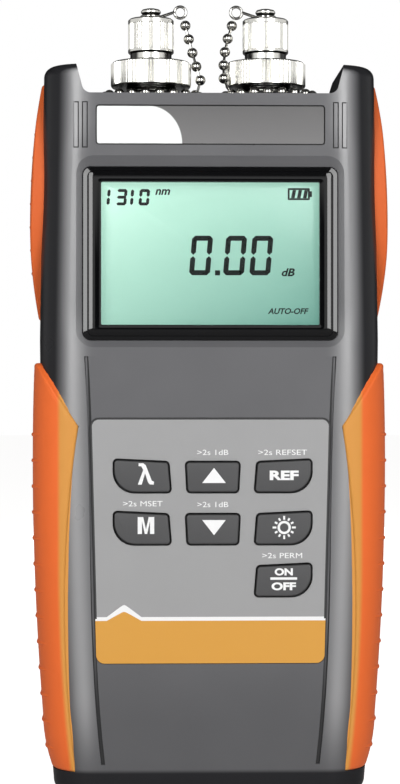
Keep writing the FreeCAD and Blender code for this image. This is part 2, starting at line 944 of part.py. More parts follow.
def battery_door():
    plate = prism(door_outline(0.0, door_inner_y), Vector(0, door_thickness, 0))
    tabs = []
    tab_outer = rear_y - wall - door_tab_gap
    for side in (-1, 1):
        x = side * door_tab_x
        low = (x - door_tab_width / 2, tab_outer - door_tab_thickness, door_bottom_z - door_tab_length)
        high = (x + door_tab_width / 2, tab_outer, door_bottom_z + door_tab_root)
        root_low = (low[0], tab_outer - door_tab_thickness, door_bottom_z)
        root_high = (high[0], door_inner_y, door_bottom_z + door_tab_root)
        tabs += [block(low, high), block(root_low, root_high)]
    pull = Part.makeSphere(door_pull_radius, Vector(0, rear_y + door_pull_radius - door_pull_depth,
                                                   door_top_z - door_pull_drop))
    return plate.fuse(tabs).cut([pull]).removeSplitter()


def cells():
    low = bay_bottom_z + contact_thickness + contact_rise
    profile = [
        (0, 0), (cell_radius, 0), (cell_radius, cell_length),
        (cell_nub_radius, cell_length), (cell_nub_radius, cell_length + cell_nub_length),
        (0, cell_length + cell_nub_length),
    ]
    pitch = 2 * cell_radius + cell_gap / 2
    parts = {}
    for i, turn in enumerate((1, -1, 1)):
        base = low if turn > 0 else low + cell_length + cell_nub_length
        x = (i - 1) * pitch
        parts["cell_" + str(i + 1)] = turned(profile, (x, cell_y, base), Vector(0, 0, turn))
    return parts


def cell_contacts():
    pitch = 2 * cell_radius + cell_gap / 2
    plates = []
    for i in range(3):
        x = (i - 1) * pitch
        for turn, z in ((1, bay_bottom_z), (-1, bay_bottom_z + bay_height)):
            half, fold = contact_width / 2, contact_fold_width / 2
            low, rise = contact_thickness * turn, (contact_thickness + contact_rise) * turn
            outline = [
                (-half, 0), (-fold, 0), (0, rise - low), (fold, 0), (half, 0),
                (half, low), (fold, low), (0, rise), (-fold, low), (-half, low),
            ]
            moved = [(x + u, z + v) for u, v in outline]
            wire = rounded_outline(moved, [0] * len(moved), on_xz(cell_y - half))
            plates.append(prism(wire, Vector(0, contact_width, 0)))
    return Part.makeCompound(plates)


def case_screws():
    solids = []
    for x, z in boss_places:
        head_y = middle_y + screw_floor
        shank = disc(screw_radius, screw_length + screw_floor - 1, (x, head_y, z), Vector(0, -1, 0))
        head = disc(screw_head_radius, screw_head_height, (x, head_y, z), Vector(0, 1, 0))
        solids.append(fused([shank, head]))
    return Part.makeCompound(solids)


# Display

def display_window():
    back = front_y + lens_sink + lens_thickness
    front = front_y + lens_sink
    straight = rectangle(lens_width, lens_height, lens_corner, on_xz(front + lens_bevel), (0.0, lens_z))
    body = prism(straight, Vector(0, back - front - lens_bevel, 0))
    edge = rectangle(lens_width, lens_height, lens_corner, on_xz(front + lens_bevel), (0.0, lens_z))
    face = rectangle(
        lens_width - 2 * lens_bevel, lens_height - 2 * lens_bevel, lens_corner - lens_bevel / 2,
        on_xz(front), (0.0, lens_z))
    return fused([body, Part.makeLoft([edge, face], True, True)])


def display_glass():
    wire = rectangle(glass_width, glass_height, glass_corner, on_xz(glass_front_y), (0.0, lens_z))
    return prism(wire, Vector(0, glass_thickness, 0))


def display_frame():
    centre = (0.0, lens_z)
    place = on_xz(glass_front_y)
    width = glass_width + 2 * display_frame_rim
    height = glass_height + 2 * display_frame_rim
    outline = rectangle(width, height, glass_corner + glass_gap, place, centre)
    pocket = rectangle(
        glass_width + 2 * glass_gap, glass_height + 2 * glass_gap, glass_corner + glass_gap, place, centre)
    outer = prism(outline, Vector(0, board_front_y - glass_front_y, 0))
    return outer.cut(prism(pocket, Vector(0, glass_thickness, 0)))


def name_plate():
    wire = rectangle(plate_width, plate_height, plate_corner, on_xz(front_y + plate_sink), (0.0, plate_z()))
    return prism(wire, Vector(0, -plate_thickness, 0))


# Keypad

def keypad_panel():
    sheet = prism(panel_outline(0.0, panel_front_y), Vector(0, panel_thickness, 0))
    return sheet.cut(key_holes(panel_front_y - overrun, panel_thickness + 2 * overrun))


def key(shape, centre):
    front = front_y - key_proud
    cap = prism(key_outline(shape, centre, 0.0, front), Vector(0, inner_front_y - front, 0))
    face_edges = [e for e in cap.Edges if all(abs(v.Y - front) < 1e-6 for v in e.Vertexes)]
    cap = cap.makeChamfer(key_edge_chamfer, face_edges)
    flange = prism(key_outline(shape, centre, key_flange, inner_front_y), Vector(0, key_flange_thickness, 0))
    stem_start = inner_front_y + key_flange_thickness
    cx, cz = centre
    half = stem_width / 2
    stem = block((cx - half, stem_start, cz - half), (cx + half, switch_front_y + stem_entry, cz + half))
    return fused([cap, flange, stem])


def key_switches():
    solids = []
    for _, (cx, cz) in key_places().values():
        half = switch_size / 2
        body = block((cx - half, switch_front_y, cz - half), (cx + half, board_front_y, cz + half))
        open_half = stem_width / 2 + switch_gap
        well_floor = switch_front_y + stem_entry + key_travel + switch_spare
        well = block(
            (cx - open_half, switch_front_y - overrun, cz - open_half),
            (cx + open_half, well_floor, cz + open_half))
        solids.append(body.cut(well))
    return Part.makeCompound(solids)


def main_board():
    low = (-board_half_width, board_front_y, board_bottom_z)
    high = (board_half_width, board_rear_y, case_length - board_top_drop)
    board = block(low, high)
    notch = boss_radius + boss_hole_gap
    notches = []
    for x, z in boss_places:
        edge = math.copysign(board_half_width + 1, x)
        inner = x - math.copysign(notch, x)
        low = (min(edge, inner), board_front_y - 1, z - notch)
        high = (max(edge, inner), board_rear_y + 1, z + notch)
        notches.append(block(low, high))
    return board.cut(notches)


def power_socket():
    inner_face = -half_width_waist + wall + jack_gap
    half = jack_size / 2
    body = block(
        (inner_face, board_rear_y, jack_z - half),
        (inner_face + jack_length, board_rear_y + jack_size, jack_z + half))
    nose_length = wall - dish_depth + jack_gap
    axis = Vector(-1, 0, 0)
    nose = disc(jack_nose_radius, nose_length, (inner_face, middle_y, jack_z), axis)
    mouth = inner_face - nose_length
    bore = ring(jack_bore_radius, jack_pin_radius, jack_pin_depth, (mouth, middle_y, jack_z), Vector(1, 0, 0))
    return fused([body, nose]).cut(bore)


# Optics inside the case

def attenuator_module():
    body = block(
        (-module_width / 2, board_rear_y, module_z - module_height / 2),
        (module_width / 2, board_rear_y + module_depth, module_z + module_height / 2))
    upright = [e for e in body.Edges if abs(e.Vertexes[0].Z - e.Vertexes[1].Z) > 1]
    body = body.makeFillet(module_edge, upright)
    ports = [
        disc(module_port_radius, module_port_length,
             (side * module_port_x, module_y, module_z + module_height / 2))
        for side in (-1, 1)
    ]
    return fused([body] + ports)


def fibre_spool():
    base = (0.0, inner_rear_y, spool_z)
    back = Vector(0, -1, 0)
    profile = [
        (spool_bore_radius, 0), (spool_radius, 0), (spool_radius, spool_rim),
        (spool_hub_radius, spool_rim), (spool_hub_radius, spool_depth - spool_rim),
        (spool_radius, spool_depth - spool_rim), (spool_radius, spool_depth),
        (spool_bore_radius, spool_depth),
    ]
    return turned(profile, base, back)


def fibre_coil():
    depth = spool_depth - 2 * (spool_rim + coil_gap)
    base = (0.0, inner_rear_y - spool_rim - coil_gap, spool_z)
    return ring(spool_radius - coil_inset, spool_hub_radius + coil_gap, depth, base, Vector(0, -1, 0))


def pigtail(side):
    """Fibre lead from a port's holder to the module, straight runs joined by tangent arcs."""
    module_top = module_z + module_height / 2 + module_port_length
    points = [
        Vector(side * port_pitch / 2, middle_y, holder_bottom),
        Vector(side * port_pitch / 2, middle_y, holder_bottom - pigtail_run),
        Vector(side * module_port_x, module_y, module_top + pigtail_run),
        Vector(side * module_port_x, module_y, module_top),
    ]
    edges = []
    start = points[0]
    for before, corner, after in zip(points, points[1:], points[2:]):
        back = (before - corner)
        ahead = (after - corner)
        shorter = min(back.Length, ahead.Length)
        back.normalize()
        ahead.normalize()
        reach = 0.45 * shorter
        half = back.getAngle(ahead) / 2
        radius = reach * math.tan(half)
        middle = (back + ahead).normalize()
        first = corner + back * reach
        last = corner + ahead * reach
        crown = corner + middle * (radius / math.sin(half) - radius)
        edges.append(Part.makeLine(start, first))
        edges.append(Part.Arc(first, crown, last).toShape())
        start = last
    edges.append(Part.makeLine(start, points[-1]))
    corners = [
        points[0] + Vector(pigtail_radius * math.cos(turn), pigtail_radius * math.sin(turn), 0)
        for turn in (2 * math.pi * i / 6 for i in range(6))
    ]
    section = Part.makePolygon(corners + corners[:1])
    return Part.Wire(edges).makePipeShell([section], True, True)


# Fibre ports

def port_base(x):
    top_inside = case_length - wall
    bottom = top_inside - flange_thickness
    profile = [
        (neck_bore_radius, bottom), (flange_radius, bottom), (flange_radius, top_inside - flange_clearance),
        (neck_radius - flange_clearance, top_inside - flange_clearance),
        (neck_radius - flange_clearance, neck_top), (neck_bore_radius, neck_top),
    ]
    return turned(profile, (x, middle_y, 0.0))


def ferrule_holder(x):
    radius = neck_bore_radius - holder_gap
    flange_bottom = case_length - wall - flange_thickness
    top = holder_bottom + holder_length
    profile = [
        (pigtail_radius, holder_bottom), (holder_collar_radius, holder_bottom),
        (holder_collar_radius, flange_bottom), (radius, flange_bottom), (radius, top),
        (ferrule_radius, top), (ferrule_radius, top - ferrule_seat), (pigtail_radius, top - ferrule_seat),
    ]
    return turned(profile, (x, middle_y, 0.0))


def ferrule(x):
    bottom = holder_bottom + holder_length - ferrule_seat
    height = case_length + ferrule_rise - bottom
    return disc(ferrule_radius, height, (x, middle_y, bottom))


def adapter_head(x):
    bore = sleeve_radius + sleeve_gap
    mouth_floor = thread_top - head_mouth_depth
    profile = [
        (bore, neck_top), (head_flange_radius, neck_top), (head_flange_radius, head_flange_top),
        (shoulder_radius, head_flange_top), (shoulder_radius, shoulder_top),
        (thread_radius, shoulder_top), (thread_radius, thread_top),
        (head_mouth_radius, thread_top), (head_mouth_radius, mouth_floor),
        (ferrule_radius + ferrule_gap, mouth_floor),
        (ferrule_radius + ferrule_gap, mouth_floor - sleeve_floor),
        (bore, mouth_floor - sleeve_floor),
    ]
    body = turned(profile, (x, middle_y, 0.0))
    half = key_slot_width / 2
    slot = block(
        (x - half, middle_y - thread_radius - 1, mouth_floor),
        (x + half, middle_y - head_mouth_radius / 2, thread_top + 1))
    return body.cut(slot)


def alignment_sleeve(x):
    top = thread_top - head_mouth_depth - sleeve_floor
    body = ring(sleeve_radius, ferrule_radius + ferrule_gap, top - neck_top, (x, middle_y, neck_top))
    slot = block(
        (x - sleeve_slot / 2, middle_y, neck_top),
        (x + sleeve_slot / 2, middle_y + 2 * sleeve_radius, top))
    return body.cut(slot)


def knurled_nut(x):
    bottom = case_length + nut_bottom_rise
    profile = [
        (neck_radius - flange_clearance + nut_gap, bottom), (nut_radius - nut_rim, bottom),
        (nut_radius, bottom + nut_rim), (nut_radius, nut_top - nut_rim / 2),
        (nut_radius - nut_rim / 2, nut_top), (shoulder_radius + nut_gap, nut_top),
        (shoulder_radius + nut_gap, head_flange_top),
        (neck_radius - flange_clearance + nut_gap, head_flange_top),
    ]
    body = turned(profile, (x, middle_y, 0.0))
    return body


def dust_cap(x):
    inner_top = cap_top_z - cap_top
    post_top = cap_top_z + post_length
    profile = [
        (thread_radius + cap_gap, shoulder_top), (cap_radius, shoulder_top),
        (cap_radius, cap_top_z - cap_edge), (cap_radius - cap_edge, cap_top_z),
        (post_radius, cap_top_z), (post_radius, post_top), (post_head_radius, post_top),
        (post_head_radius, post_top + post_head_height / 2),
        (post_head_radius - post_head_taper, post_top + post_head_height), (0, post_top + post_head_height),
        (0, inner_top), (thread_radius + cap_gap, inner_top),
    ]
    return turned(profile, (x, middle_y, 0.0))


def square_bar(start, end, width):
    along = end - start
    bar = Part.makeBox(width, width, along.Length, Vector(-width / 2, -width / 2, 0))
    bar.Placement = FreeCAD.Placement(start, FreeCAD.Rotation(Vector(0, 0, 1), along))
    return bar


def wire_hoop(radius, wire, centre, axis):
    """Closed hoop of wire, its section a hexagon of the wire's width."""
    corners = [
        Vector(radius + wire * math.cos(turn), 0, wire * math.sin(turn))
        for turn in (math.pi * i / 3 for i in range(6))
    ]
    face = Part.Face(Part.makePolygon(corners + corners[:1]))
    hoop = face.revolve(Vector(0, 0, 0), Vector(0, 0, 1), 360)
    hoop.Placement = FreeCAD.Placement(centre, FreeCAD.Rotation(Vector(0, 0, 1), axis))
    return hoop


def cap_ring(x, side):
    """Wire ring round the cap's post, with an arm to the eye that holds the chain."""
    hoop = wire_hoop(ring_radius, ring_wire, Vector(x, middle_y, ring_z), Vector(0, 0, 1))
    eye = wire_hoop(eye_radius, eye_wire, Vector(x + side * eye_reach, middle_y, eye_z), Vector(0, 1, 0))
    start = Vector(x + side * ring_radius, middle_y, ring_z)
    end = Vector(x + side * (eye_reach - eye_radius), middle_y, eye_z)
    return hoop.fuse([eye, square_bar(start, end, 2 * eye_wire)])


# Bead chains

def bead(centre, direction):
    rings = []
    for height, radius in (
        (-bead_radius, bead_end_radius), (-bead_flat, bead_radius),
        (bead_flat, bead_radius), (bead_radius, bead_end_radius),
    ):
        corners = [
            Vector(
                radius * math.cos(2 * math.pi * i / bead_sides),
                radius * math.sin(2 * math.pi * i / bead_sides), height)
            for i in range(bead_sides)
        ]
        rings.append(Part.makePolygon(corners + [corners[0]]))
    solid = Part.makeLoft(rings, True, True)
    solid.Placement = FreeCAD.Placement(centre, FreeCAD.Rotation(Vector(0, 0, 1), direction))
    return solid


def bead_run(centres, closed):
    count = len(centres)
    solids = []
    for i, centre in enumerate(centres):
        if closed:
            direction = centres[(i + 1) % count] - centres[i - 1]
        else:
            direction = centres[min(i + 1, count - 1)] - centres[max(i - 1, 0)]
        solids.append(bead(centre, direction))
        if closed or i < count - 1:
            solids.append(square_bar(centre, centres[(i + 1) % count], link_width))
    return solids[0].fuse(solids[1:])


# Hanging run of each chain, as offsets from its port's axis
chain_routes = {
    "left": {
        "top_x": 8.0, "bow_x": 11.2, "low_x": 11.4, "low_y": -2.6,
        "loop_half_x": 10.9, "loop_half_y": 7.5, "loop_shift_x": 0.3,
    },
    "right": {
        "top_x": -7.8, "bow_x": -11.6, "low_x": -9.6, "low_y": -5.6,
        "loop_half_x": 10.4, "loop_half_y": 9.2, "loop_shift_x": 0.9,
    },
}


def hanging_centres(x, route):
    top = Vector(x + route["top_x"], middle_y, eye_z - eye_radius - eye_wire - bead_radius - chain_gap)
    low = Vector(x + route["low_x"], middle_y + route["low_y"], loop_z + bead_pitch + loop_gap)
    bow = Vector(x + route["bow_x"], (middle_y + low.y) / 2, (top.z + low.z) / 2)
    return [bezier_point(top, bow, low, i / (hanging_bead_count - 1)) for i in range(hanging_bead_count)]


def loop_centres(x, route):
    half_x, half_y = route["loop_half_x"], route["loop_half_y"]
    around = math.pi * (3 * (half_x + half_y) - math.sqrt((3 * half_x + half_y) * (half_x + 3 * half_y)))
    count = int(around / bead_pitch)
    centres = []
    for i in range(count):
        angle = 2 * math.pi * i / count
        centres.append(Vector(
            x + route["loop_shift_x"] + half_x * math.cos(angle),
            middle_y + half_y * math.sin(angle), loop_z))
    return centres


def port_parts(name, x, side):
    route = chain_routes[name]
    hanging = hanging_centres(x, route)
    return {
        "port_base_" + name: port_base(x),
        "ferrule_holder_" + name: ferrule_holder(x),
        "ferrule_" + name: ferrule(x),
        "adapter_head_" + name: adapter_head(x),
        "alignment_sleeve_" + name: alignment_sleeve(x),
        "knurled_nut_" + name: knurled_nut(x),
        "dust_cap_" + name: dust_cap(x),
        "cap_ring_" + name: cap_ring(x, side),
        "chain_upper_" + name: bead_run(hanging[:upper_bead_count], False),
        "chain_lower_" + name: bead_run(hanging[upper_bead_count:], False),
        "chain_loop_" + name: bead_run(loop_centres(x, route), True),
        "pigtail_" + name: pigtail(-1 if name == "left" else 1),
    }


def model():
    body = case_body()
    cavity = case_cavity()
    pockets = grip_pockets()
    parts = {
        "front_shell": front_shell(body, cavity, pockets),
        "rear_shell": rear_shell(body, cavity, pockets),
        "battery_door": battery_door(),
        "cell_contacts": cell_contacts(),
        "case_screws": case_screws(),
        "display_window": display_window(),
        "display_glass": display_glass(),
        "display_frame": display_frame(),
        "name_plate": name_plate(),
        "keypad_panel": keypad_panel(),
        "key_switches": key_switches(),
        "main_board": main_board(),
        "power_socket": power_socket(),
        "attenuator_module": attenuator_module(),
        "fibre_spool": fibre_spool(),
        "fibre_coil": fibre_coil(),
    }
    parts.update(grips())
    parts.update(cells())
    for name, (shape, centre) in key_places().items():
        parts[name] = key(shape, centre)
    parts.update(port_parts("left", -port_pitch / 2, 1))
    parts.update(port_parts("right", port_pitch / 2, -1))
    return parts


def main():
    os.makedirs("parts", exist_ok=True)
    for name, shape in model().items():
        shape.exportStep("parts/" + name + ".step")


main()
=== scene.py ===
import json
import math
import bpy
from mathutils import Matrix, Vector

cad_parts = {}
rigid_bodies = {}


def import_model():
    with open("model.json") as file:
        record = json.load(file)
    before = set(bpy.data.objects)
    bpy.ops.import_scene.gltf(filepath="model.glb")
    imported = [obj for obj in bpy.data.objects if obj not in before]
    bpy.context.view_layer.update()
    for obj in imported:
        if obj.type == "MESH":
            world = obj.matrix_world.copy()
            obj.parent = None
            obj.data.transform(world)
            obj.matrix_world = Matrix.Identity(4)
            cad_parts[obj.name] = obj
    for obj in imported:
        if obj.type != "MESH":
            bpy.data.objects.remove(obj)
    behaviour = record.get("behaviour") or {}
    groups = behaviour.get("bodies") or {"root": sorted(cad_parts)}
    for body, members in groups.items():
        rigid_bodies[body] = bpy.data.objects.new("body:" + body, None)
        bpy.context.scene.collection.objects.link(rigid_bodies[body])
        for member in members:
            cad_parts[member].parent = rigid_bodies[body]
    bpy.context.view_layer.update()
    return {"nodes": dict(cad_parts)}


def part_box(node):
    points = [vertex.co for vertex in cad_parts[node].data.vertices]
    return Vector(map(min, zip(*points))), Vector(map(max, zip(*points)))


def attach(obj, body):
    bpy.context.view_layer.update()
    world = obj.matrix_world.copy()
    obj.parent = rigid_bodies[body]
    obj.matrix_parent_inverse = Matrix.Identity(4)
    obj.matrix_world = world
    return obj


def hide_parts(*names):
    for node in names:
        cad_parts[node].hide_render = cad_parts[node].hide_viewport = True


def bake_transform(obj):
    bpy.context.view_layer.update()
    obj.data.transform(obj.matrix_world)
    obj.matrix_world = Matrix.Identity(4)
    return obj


bl_info = {
    "name": "Variable optical attenuator",
    "version": (1, 0, 0),
    "blender": (4, 5, 0),
    "location": "3D View > Sidebar > Attenuator",
    "description": "Dresses the packed model of a handheld fibre attenuator and sets it on a studio floor",
    "category": "Object",
}

import bmesh
import bpy
from bpy.props import FloatProperty, FloatVectorProperty, IntProperty, PointerProperty
from mathutils import Matrix, Vector

for leftover in list(bpy.data.objects):
    bpy.data.objects.remove(leftover)
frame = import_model()
NODES = frame["nodes"]
MM = 0.001
SIDES = (("left", -1), ("right", 1))


def box_mm(name):
    low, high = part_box(name)
    return Vector(low) / MM, Vector(high) / MM


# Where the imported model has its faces, in millimetres
CASE_LOW, CASE_HIGH = box_mm("front_shell")
FRONT_Y = CASE_LOW.y
MIDDLE_Y = CASE_HIGH.y
REAR_Y = box_mm("rear_shell")[1].y
PORT_X = {name: sum(corner.x for corner in box_mm("dust_cap_" + name)) / 2 for name, _ in SIDES}
TOP_Z = CASE_HIGH.z - 6.8
PANEL_Y = box_mm("keypad_panel")[0].y
LENS_LOW, LENS_HIGH = box_mm("display_window")
LENS_X = (LENS_LOW.x + LENS_HIGH.x) / 2
LENS_Z = (LENS_LOW.z + LENS_HIGH.z) / 2


# Sizes and colours that a user would change

def colour_property(name, description, default):
    return FloatVectorProperty(
        name=name, description=description, default=default, size=3, min=0.0, max=1.0, subtype="COLOR")


def length_property(name, description, millimetres):
    return FloatProperty(
        name=name, description=description, default=millimetres * MM, min=0.0, subtype="DISTANCE", unit="LENGTH")


def share_property(name, description, default):
    return FloatProperty(
        name=name, description=description, default=default, min=0.0, max=1.0, subtype="FACTOR")


class CaseLook(bpy.types.PropertyGroup):
    front: colour_property("Front colour", "Colour of the case where it faces forwards or back", (0.12, 0.12, 0.126))
    # The side colour is painted shade where the case turns to its sides, near its foot and below its bottom edge
    side: colour_property("Side colour", "Colour of the case where it turns to its sides", (0.02, 0.02, 0.022))
    # The shoulder colour is a painted highlight down each shoulder
    shoulder: colour_property("Shoulder colour", "Colour of the band beside the front face", (0.285, 0.285, 0.29))
    # The engraved colour is painted shade in the engraved lines and bars
    engraved: colour_property("Engraved colour", "Colour in the engraved lines", (0.03, 0.03, 0.031))
    gloss_black: colour_property("Border colour", "Colour of the border round the display", (0.003, 0.003, 0.0035))
    roughness: share_property("Case roughness", "Roughness of the case's fine texture", 0.3)
    grain: length_property("Grain size", "Size of the case's moulded grain", 0.35)


class GripLook(bpy.types.PropertyGroup):
    side: colour_property("Side colour", "Colour of a grip where it faces sideways", (0.84, 0.15, 0.026))
    # The front colour is a painted highlight where a lower grip turns to the front
    front: colour_property("Front colour", "Colour of a grip where it faces forwards", (0.665, 0.29, 0.054))
    edge: length_property("Edge radius", "Rounding of a grip's rim", 0.7)
    nub: length_property("Nub radius", "Half thickness of a cross rib", 0.5)


class KeypadLook(bpy.types.PropertyGroup):
    panel: colour_property("Panel colour", "Colour of the keypad panel", (0.335, 0.335, 0.337))
    band: colour_property("Band colour", "Colour of the band at the panel's foot", (0.68, 0.33, 0.052))
    key: colour_property("Key colour", "Colour of the rubber keys", (0.072, 0.072, 0.074))
    print_white: colour_property("Print colour", "Colour of the legends", (0.86, 0.86, 0.86))
    print_depth: length_property("Print thickness", "Thickness of a printed legend", 0.03)
    key_edge: length_property("Key rounding", "Rounding of a key's front edge", 0.45)


class DisplayLook(bpy.types.PropertyGroup):
    # The light and dark corners are a painted reflection that fades across the display
    light: colour_property("Light corner", "Colour of the display's upper left corner", (0.59, 0.94, 0.775))
    dark: colour_property("Dark corner", "Colour of the display's lower right corner", (0.13, 0.34, 0.28))
    glow: share_property("Backlight", "Share of the display's light that comes from its backlight", 0.75)
    ink: colour_property("Segment colour", "Colour of the display's segments", (0.002, 0.006, 0.005))


class MetalLook(bpy.types.PropertyGroup):
    nickel: colour_property("Nickel colour", "Colour of the plated ports and caps", (0.88, 0.87, 0.82))
    chain: colour_property("Chain colour", "Colour of the bead chains", (0.6, 0.59, 0.56))
    nut_ridges: IntProperty(name="Nut ridges", description="Ridges round a knurled nut", default=84, min=3)
    cap_ridges: IntProperty(name="Cap ridges", description="Ridges round a dust cap's rims", default=64, min=3)
    thread_pitch: length_property("Thread pitch", "Pitch of the ports' threads", 0.75)


class StageLook(bpy.types.PropertyGroup):
    distance: length_property("Camera distance", "From the camera to the middle of the case", 495.0)
    camera_x: FloatProperty(
        name="Camera offset", description="Camera's place across the case", default=-16.0 * MM, unit="LENGTH")
    aim_x: FloatProperty(
        name="Aim offset", description="Place across the case that the camera looks at", default=-1.9 * MM,
        unit="LENGTH")
    camera_z: length_property("Camera height", "Camera's height above the floor", 91.0)
    lens: FloatProperty(name="Lens", description="Focal length in millimetres", default=97.9, min=1.0)
    lamp_power: FloatProperty(name="Lamp power", description="Power of each soft lamp in watts", default=4.55, min=0.0)
    rear_share: share_property("Rear lamp", "Power of the lamp behind the case as a share of a front lamp's", 0.5)
    ambient: share_property("Ambient light", "Strength of the room's even light", 0.15)
    reflected: share_property("Reflected room", "Strength of the room in reflections", 0.85)


LOOKS = {
    "attenuator_case": CaseLook,
    "attenuator_grip": GripLook,
    "attenuator_keypad": KeypadLook,
    "attenuator_display": DisplayLook,
    "attenuator_metal": MetalLook,
    "attenuator_stage": StageLook,
}


# Node trees

# Grain and slow changes that all finishes share
FINE_DETAIL = 3.0
SLOW_DETAIL = 4.0
SLOW_SIZE = 14
BUMP_STRENGTH = 0.6


class Field:
    """Number that varies over a surface, on which the usual signs of arithmetic work."""

    def __init__(self, tree, socket):
        self.tree = tree
        self.socket = socket

    def apply(self, operation, *others):
        made = node(self.tree, "ShaderNodeMath", dict(enumerate((self, *others))), operation=operation)
        return Field(self.tree, made.outputs[0])

    def __add__(self, other):
        return self.apply("ADD", other)

    def __sub__(self, other):
        return self.apply("SUBTRACT", other)

    def __rsub__(self, other):
        return Field(self.tree, other) - self

    def __mul__(self, other):
        return self.apply("MULTIPLY", other)

    def __truediv__(self, other):
        return self.apply("DIVIDE", other)

    def __abs__(self):
        return self.apply("ABSOLUTE")

    def __lt__(self, other):
        return self.apply("LESS_THAN", other)

    def __gt__(self, other):
        return self.apply("GREATER_THAN", other)

    def at_least(self, other):
        return self.apply("MAXIMUM", other)

    def at_most(self, other):
        return self.apply("MINIMUM", other)

    def squared(self):
        return self * self

    def within(self, low, high):
        """1 between two bounds, else 0."""
        return self.apply("COMPARE", (low + high) / 2, (high - low) / 2)

    def ramp(self, start, end, first=0.0, last=1.0, **settings):
        """Change from first to last while this goes from start to end."""
        made = node(self.tree, "ShaderNodeMapRange", {
            "Value": self, "From Min": start, "From Max": end, "To Min": first, "To Max": last}, **settings)
        return Field(self.tree, made.outputs[0])

    def eased(self, start, end):
        """Smooth rise from 0 at start to 1 at end."""
        return self.ramp(start, end, interpolation_type="SMOOTHSTEP")


def feed(tree, socket, value):
    """Links a field or a socket to an input, or sets the input to a plain value."""
    value = value.socket if isinstance(value, Field) else value
    if isinstance(value, bpy.types.NodeSocket):
        tree.links.new(value, socket)
    else:
        socket.default_value = value


def node(tree, kind, inputs=None, **settings):
    """Adds a node, sets its settings and gives each input a value or a link."""
    made = tree.nodes.new(kind)
    for key, value in settings.items():
        setattr(made, key, value)
    for key, value in (inputs or {}).items():
        feed(tree, made.inputs[key], value)
    return made


def mixed_colour(tree, share, first, second):
    """First colour where the share is 0, second colour where it is 1."""
    return node(tree, "ShaderNodeMix", {0: share, 6: first, 7: second}, data_type="RGBA").outputs[2]


def tinted(colour, share=1.0):
    """Colour made darker or lighter by a share, with full opacity."""
    return tuple(min(channel * share, 1.0) for channel in colour) + (1.0,)


def surface(
        name, colour, roughness, grain=0.3, relief=0.02, mottling=0.05, roughness_spread=0.06,
        stretch=(1.0, 1.0, 1.0), metallic=0.0, specular=0.5):
    """Finish with fine relief and slow changes of colour and gloss, laid on object coordinates."""
    material = bpy.data.materials.new(name)
    material.use_nodes = True
    tree, shader = shader_of(material)
    place = node(tree, "ShaderNodeTexCoord").outputs["Object"]
    stretched = node(tree, "ShaderNodeMapping", {"Vector": place, "Scale": stretch}).outputs[0]
    fine = node(tree, "ShaderNodeTexNoise", {
        "Vector": stretched, "Scale": 1 / (grain * MM), "Detail": FINE_DETAIL}).outputs[0]
    slow = node(tree, "ShaderNodeTexNoise", {
        "Vector": place, "Scale": 1 / (SLOW_SIZE * MM), "Detail": SLOW_DETAIL}).outputs[0]
    bump = node(tree, "ShaderNodeBump", {
        "Height": fine, "Strength": BUMP_STRENGTH, "Distance": relief * MM}).outputs[0]
    tone = mixed_colour(tree, slow, tinted(colour, 1 - mottling), tinted(colour, 1 + mottling))
    gloss = Field(tree, slow).ramp(
        0.0, 1.0, max(roughness - roughness_spread, 0.0), roughness + roughness_spread)
    for key, value in (
            ("Normal", bump), ("Base Color", tone), ("Roughness", gloss), ("Metallic", metallic),
            ("Specular IOR Level", specular)):
        feed(tree, shader.inputs[key], value)
    return material


def shader_of(material):
    return material.node_tree, material.node_tree.nodes["Principled BSDF"]


def base_tone(material):
    """Tree, shader and the socket that now feeds the shader's colour."""
    tree, shader = shader_of(material)
    return tree, shader, shader.inputs["Base Color"].links[0].from_socket


def split(tree, vector):
    """The three parts of a vector as fields."""
    parts = node(tree, "ShaderNodeSeparateXYZ", {0: vector}).outputs
    return [Field(tree, part) for part in parts]


def facing(tree):
    """The three parts of the direction that the surface faces."""
    return split(tree, node(tree, "ShaderNodeTexCoord").outputs["Normal"])


def facing_ahead(tree):
    """1 where the surface faces straight forwards or back, 0 where it faces a side."""
    return abs(facing(tree)[1])


def place_axes(tree):
    """Object coordinates in millimetres as three fields."""
    place = node(tree, "ShaderNodeTexCoord").outputs["Object"]
    scaled = node(tree, "ShaderNodeVectorMath", {0: place, "Scale": 1 / MM}, operation="SCALE")
    return split(tree, scaled.outputs[0])


# Outlines and solids, in millimetres

def rounded_polygon(corners, radii, steps=6):
    """Corner points joined by straight sides, each corner turned by an arc of its own radius."""
    points = []
    for i, corner in enumerate(corners):
        here = Vector(corner)
        before = (Vector(corners[i - 1]) - here).normalized()
        after = (Vector(corners[(i + 1) % len(corners)]) - here).normalized()
        radius = radii[i]
        if radius <= 0:
            points.append(here)
            continue
        half = before.angle(after) / 2
        centre = here + (before + after).normalized() * (radius / math.sin(half))
        first = here + before * (radius / math.tan(half)) - centre
        last = here + after * (radius / math.tan(half)) - centre
        turn = math.atan2(first.x * last.y - first.y * last.x, first.dot(last))
        points += [centre + Matrix.Rotation(turn * k / steps, 2) @ first for k in range(steps + 1)]
    return points


def rectangle(width, height, radius, centre=(0.0, 0.0), steps=6):
    cx, cz = centre
    half, rise = width / 2, height / 2
    corners = [(cx - half, cz - rise), (cx + half, cz - rise), (cx + half, cz + rise), (cx - half, cz + rise)]
    return rounded_polygon(corners, [radius] * 4, steps)


def inset(points, distance):
    """Outline moved inwards by a distance; its points run anticlockwise."""
    moved = []
    count = len(points)
    for i, here in enumerate(points):
        before = (here - points[i - 1]).normalized()
        after = (points[(i + 1) % count] - here).normalized()
        normal = Vector((-(before.y + after.y), before.x + after.x)).normalized()
        lean = max(normal.dot(Vector((-after.y, after.x))), 0.5)
        moved.append(here + normal * (distance / lean))
    return moved


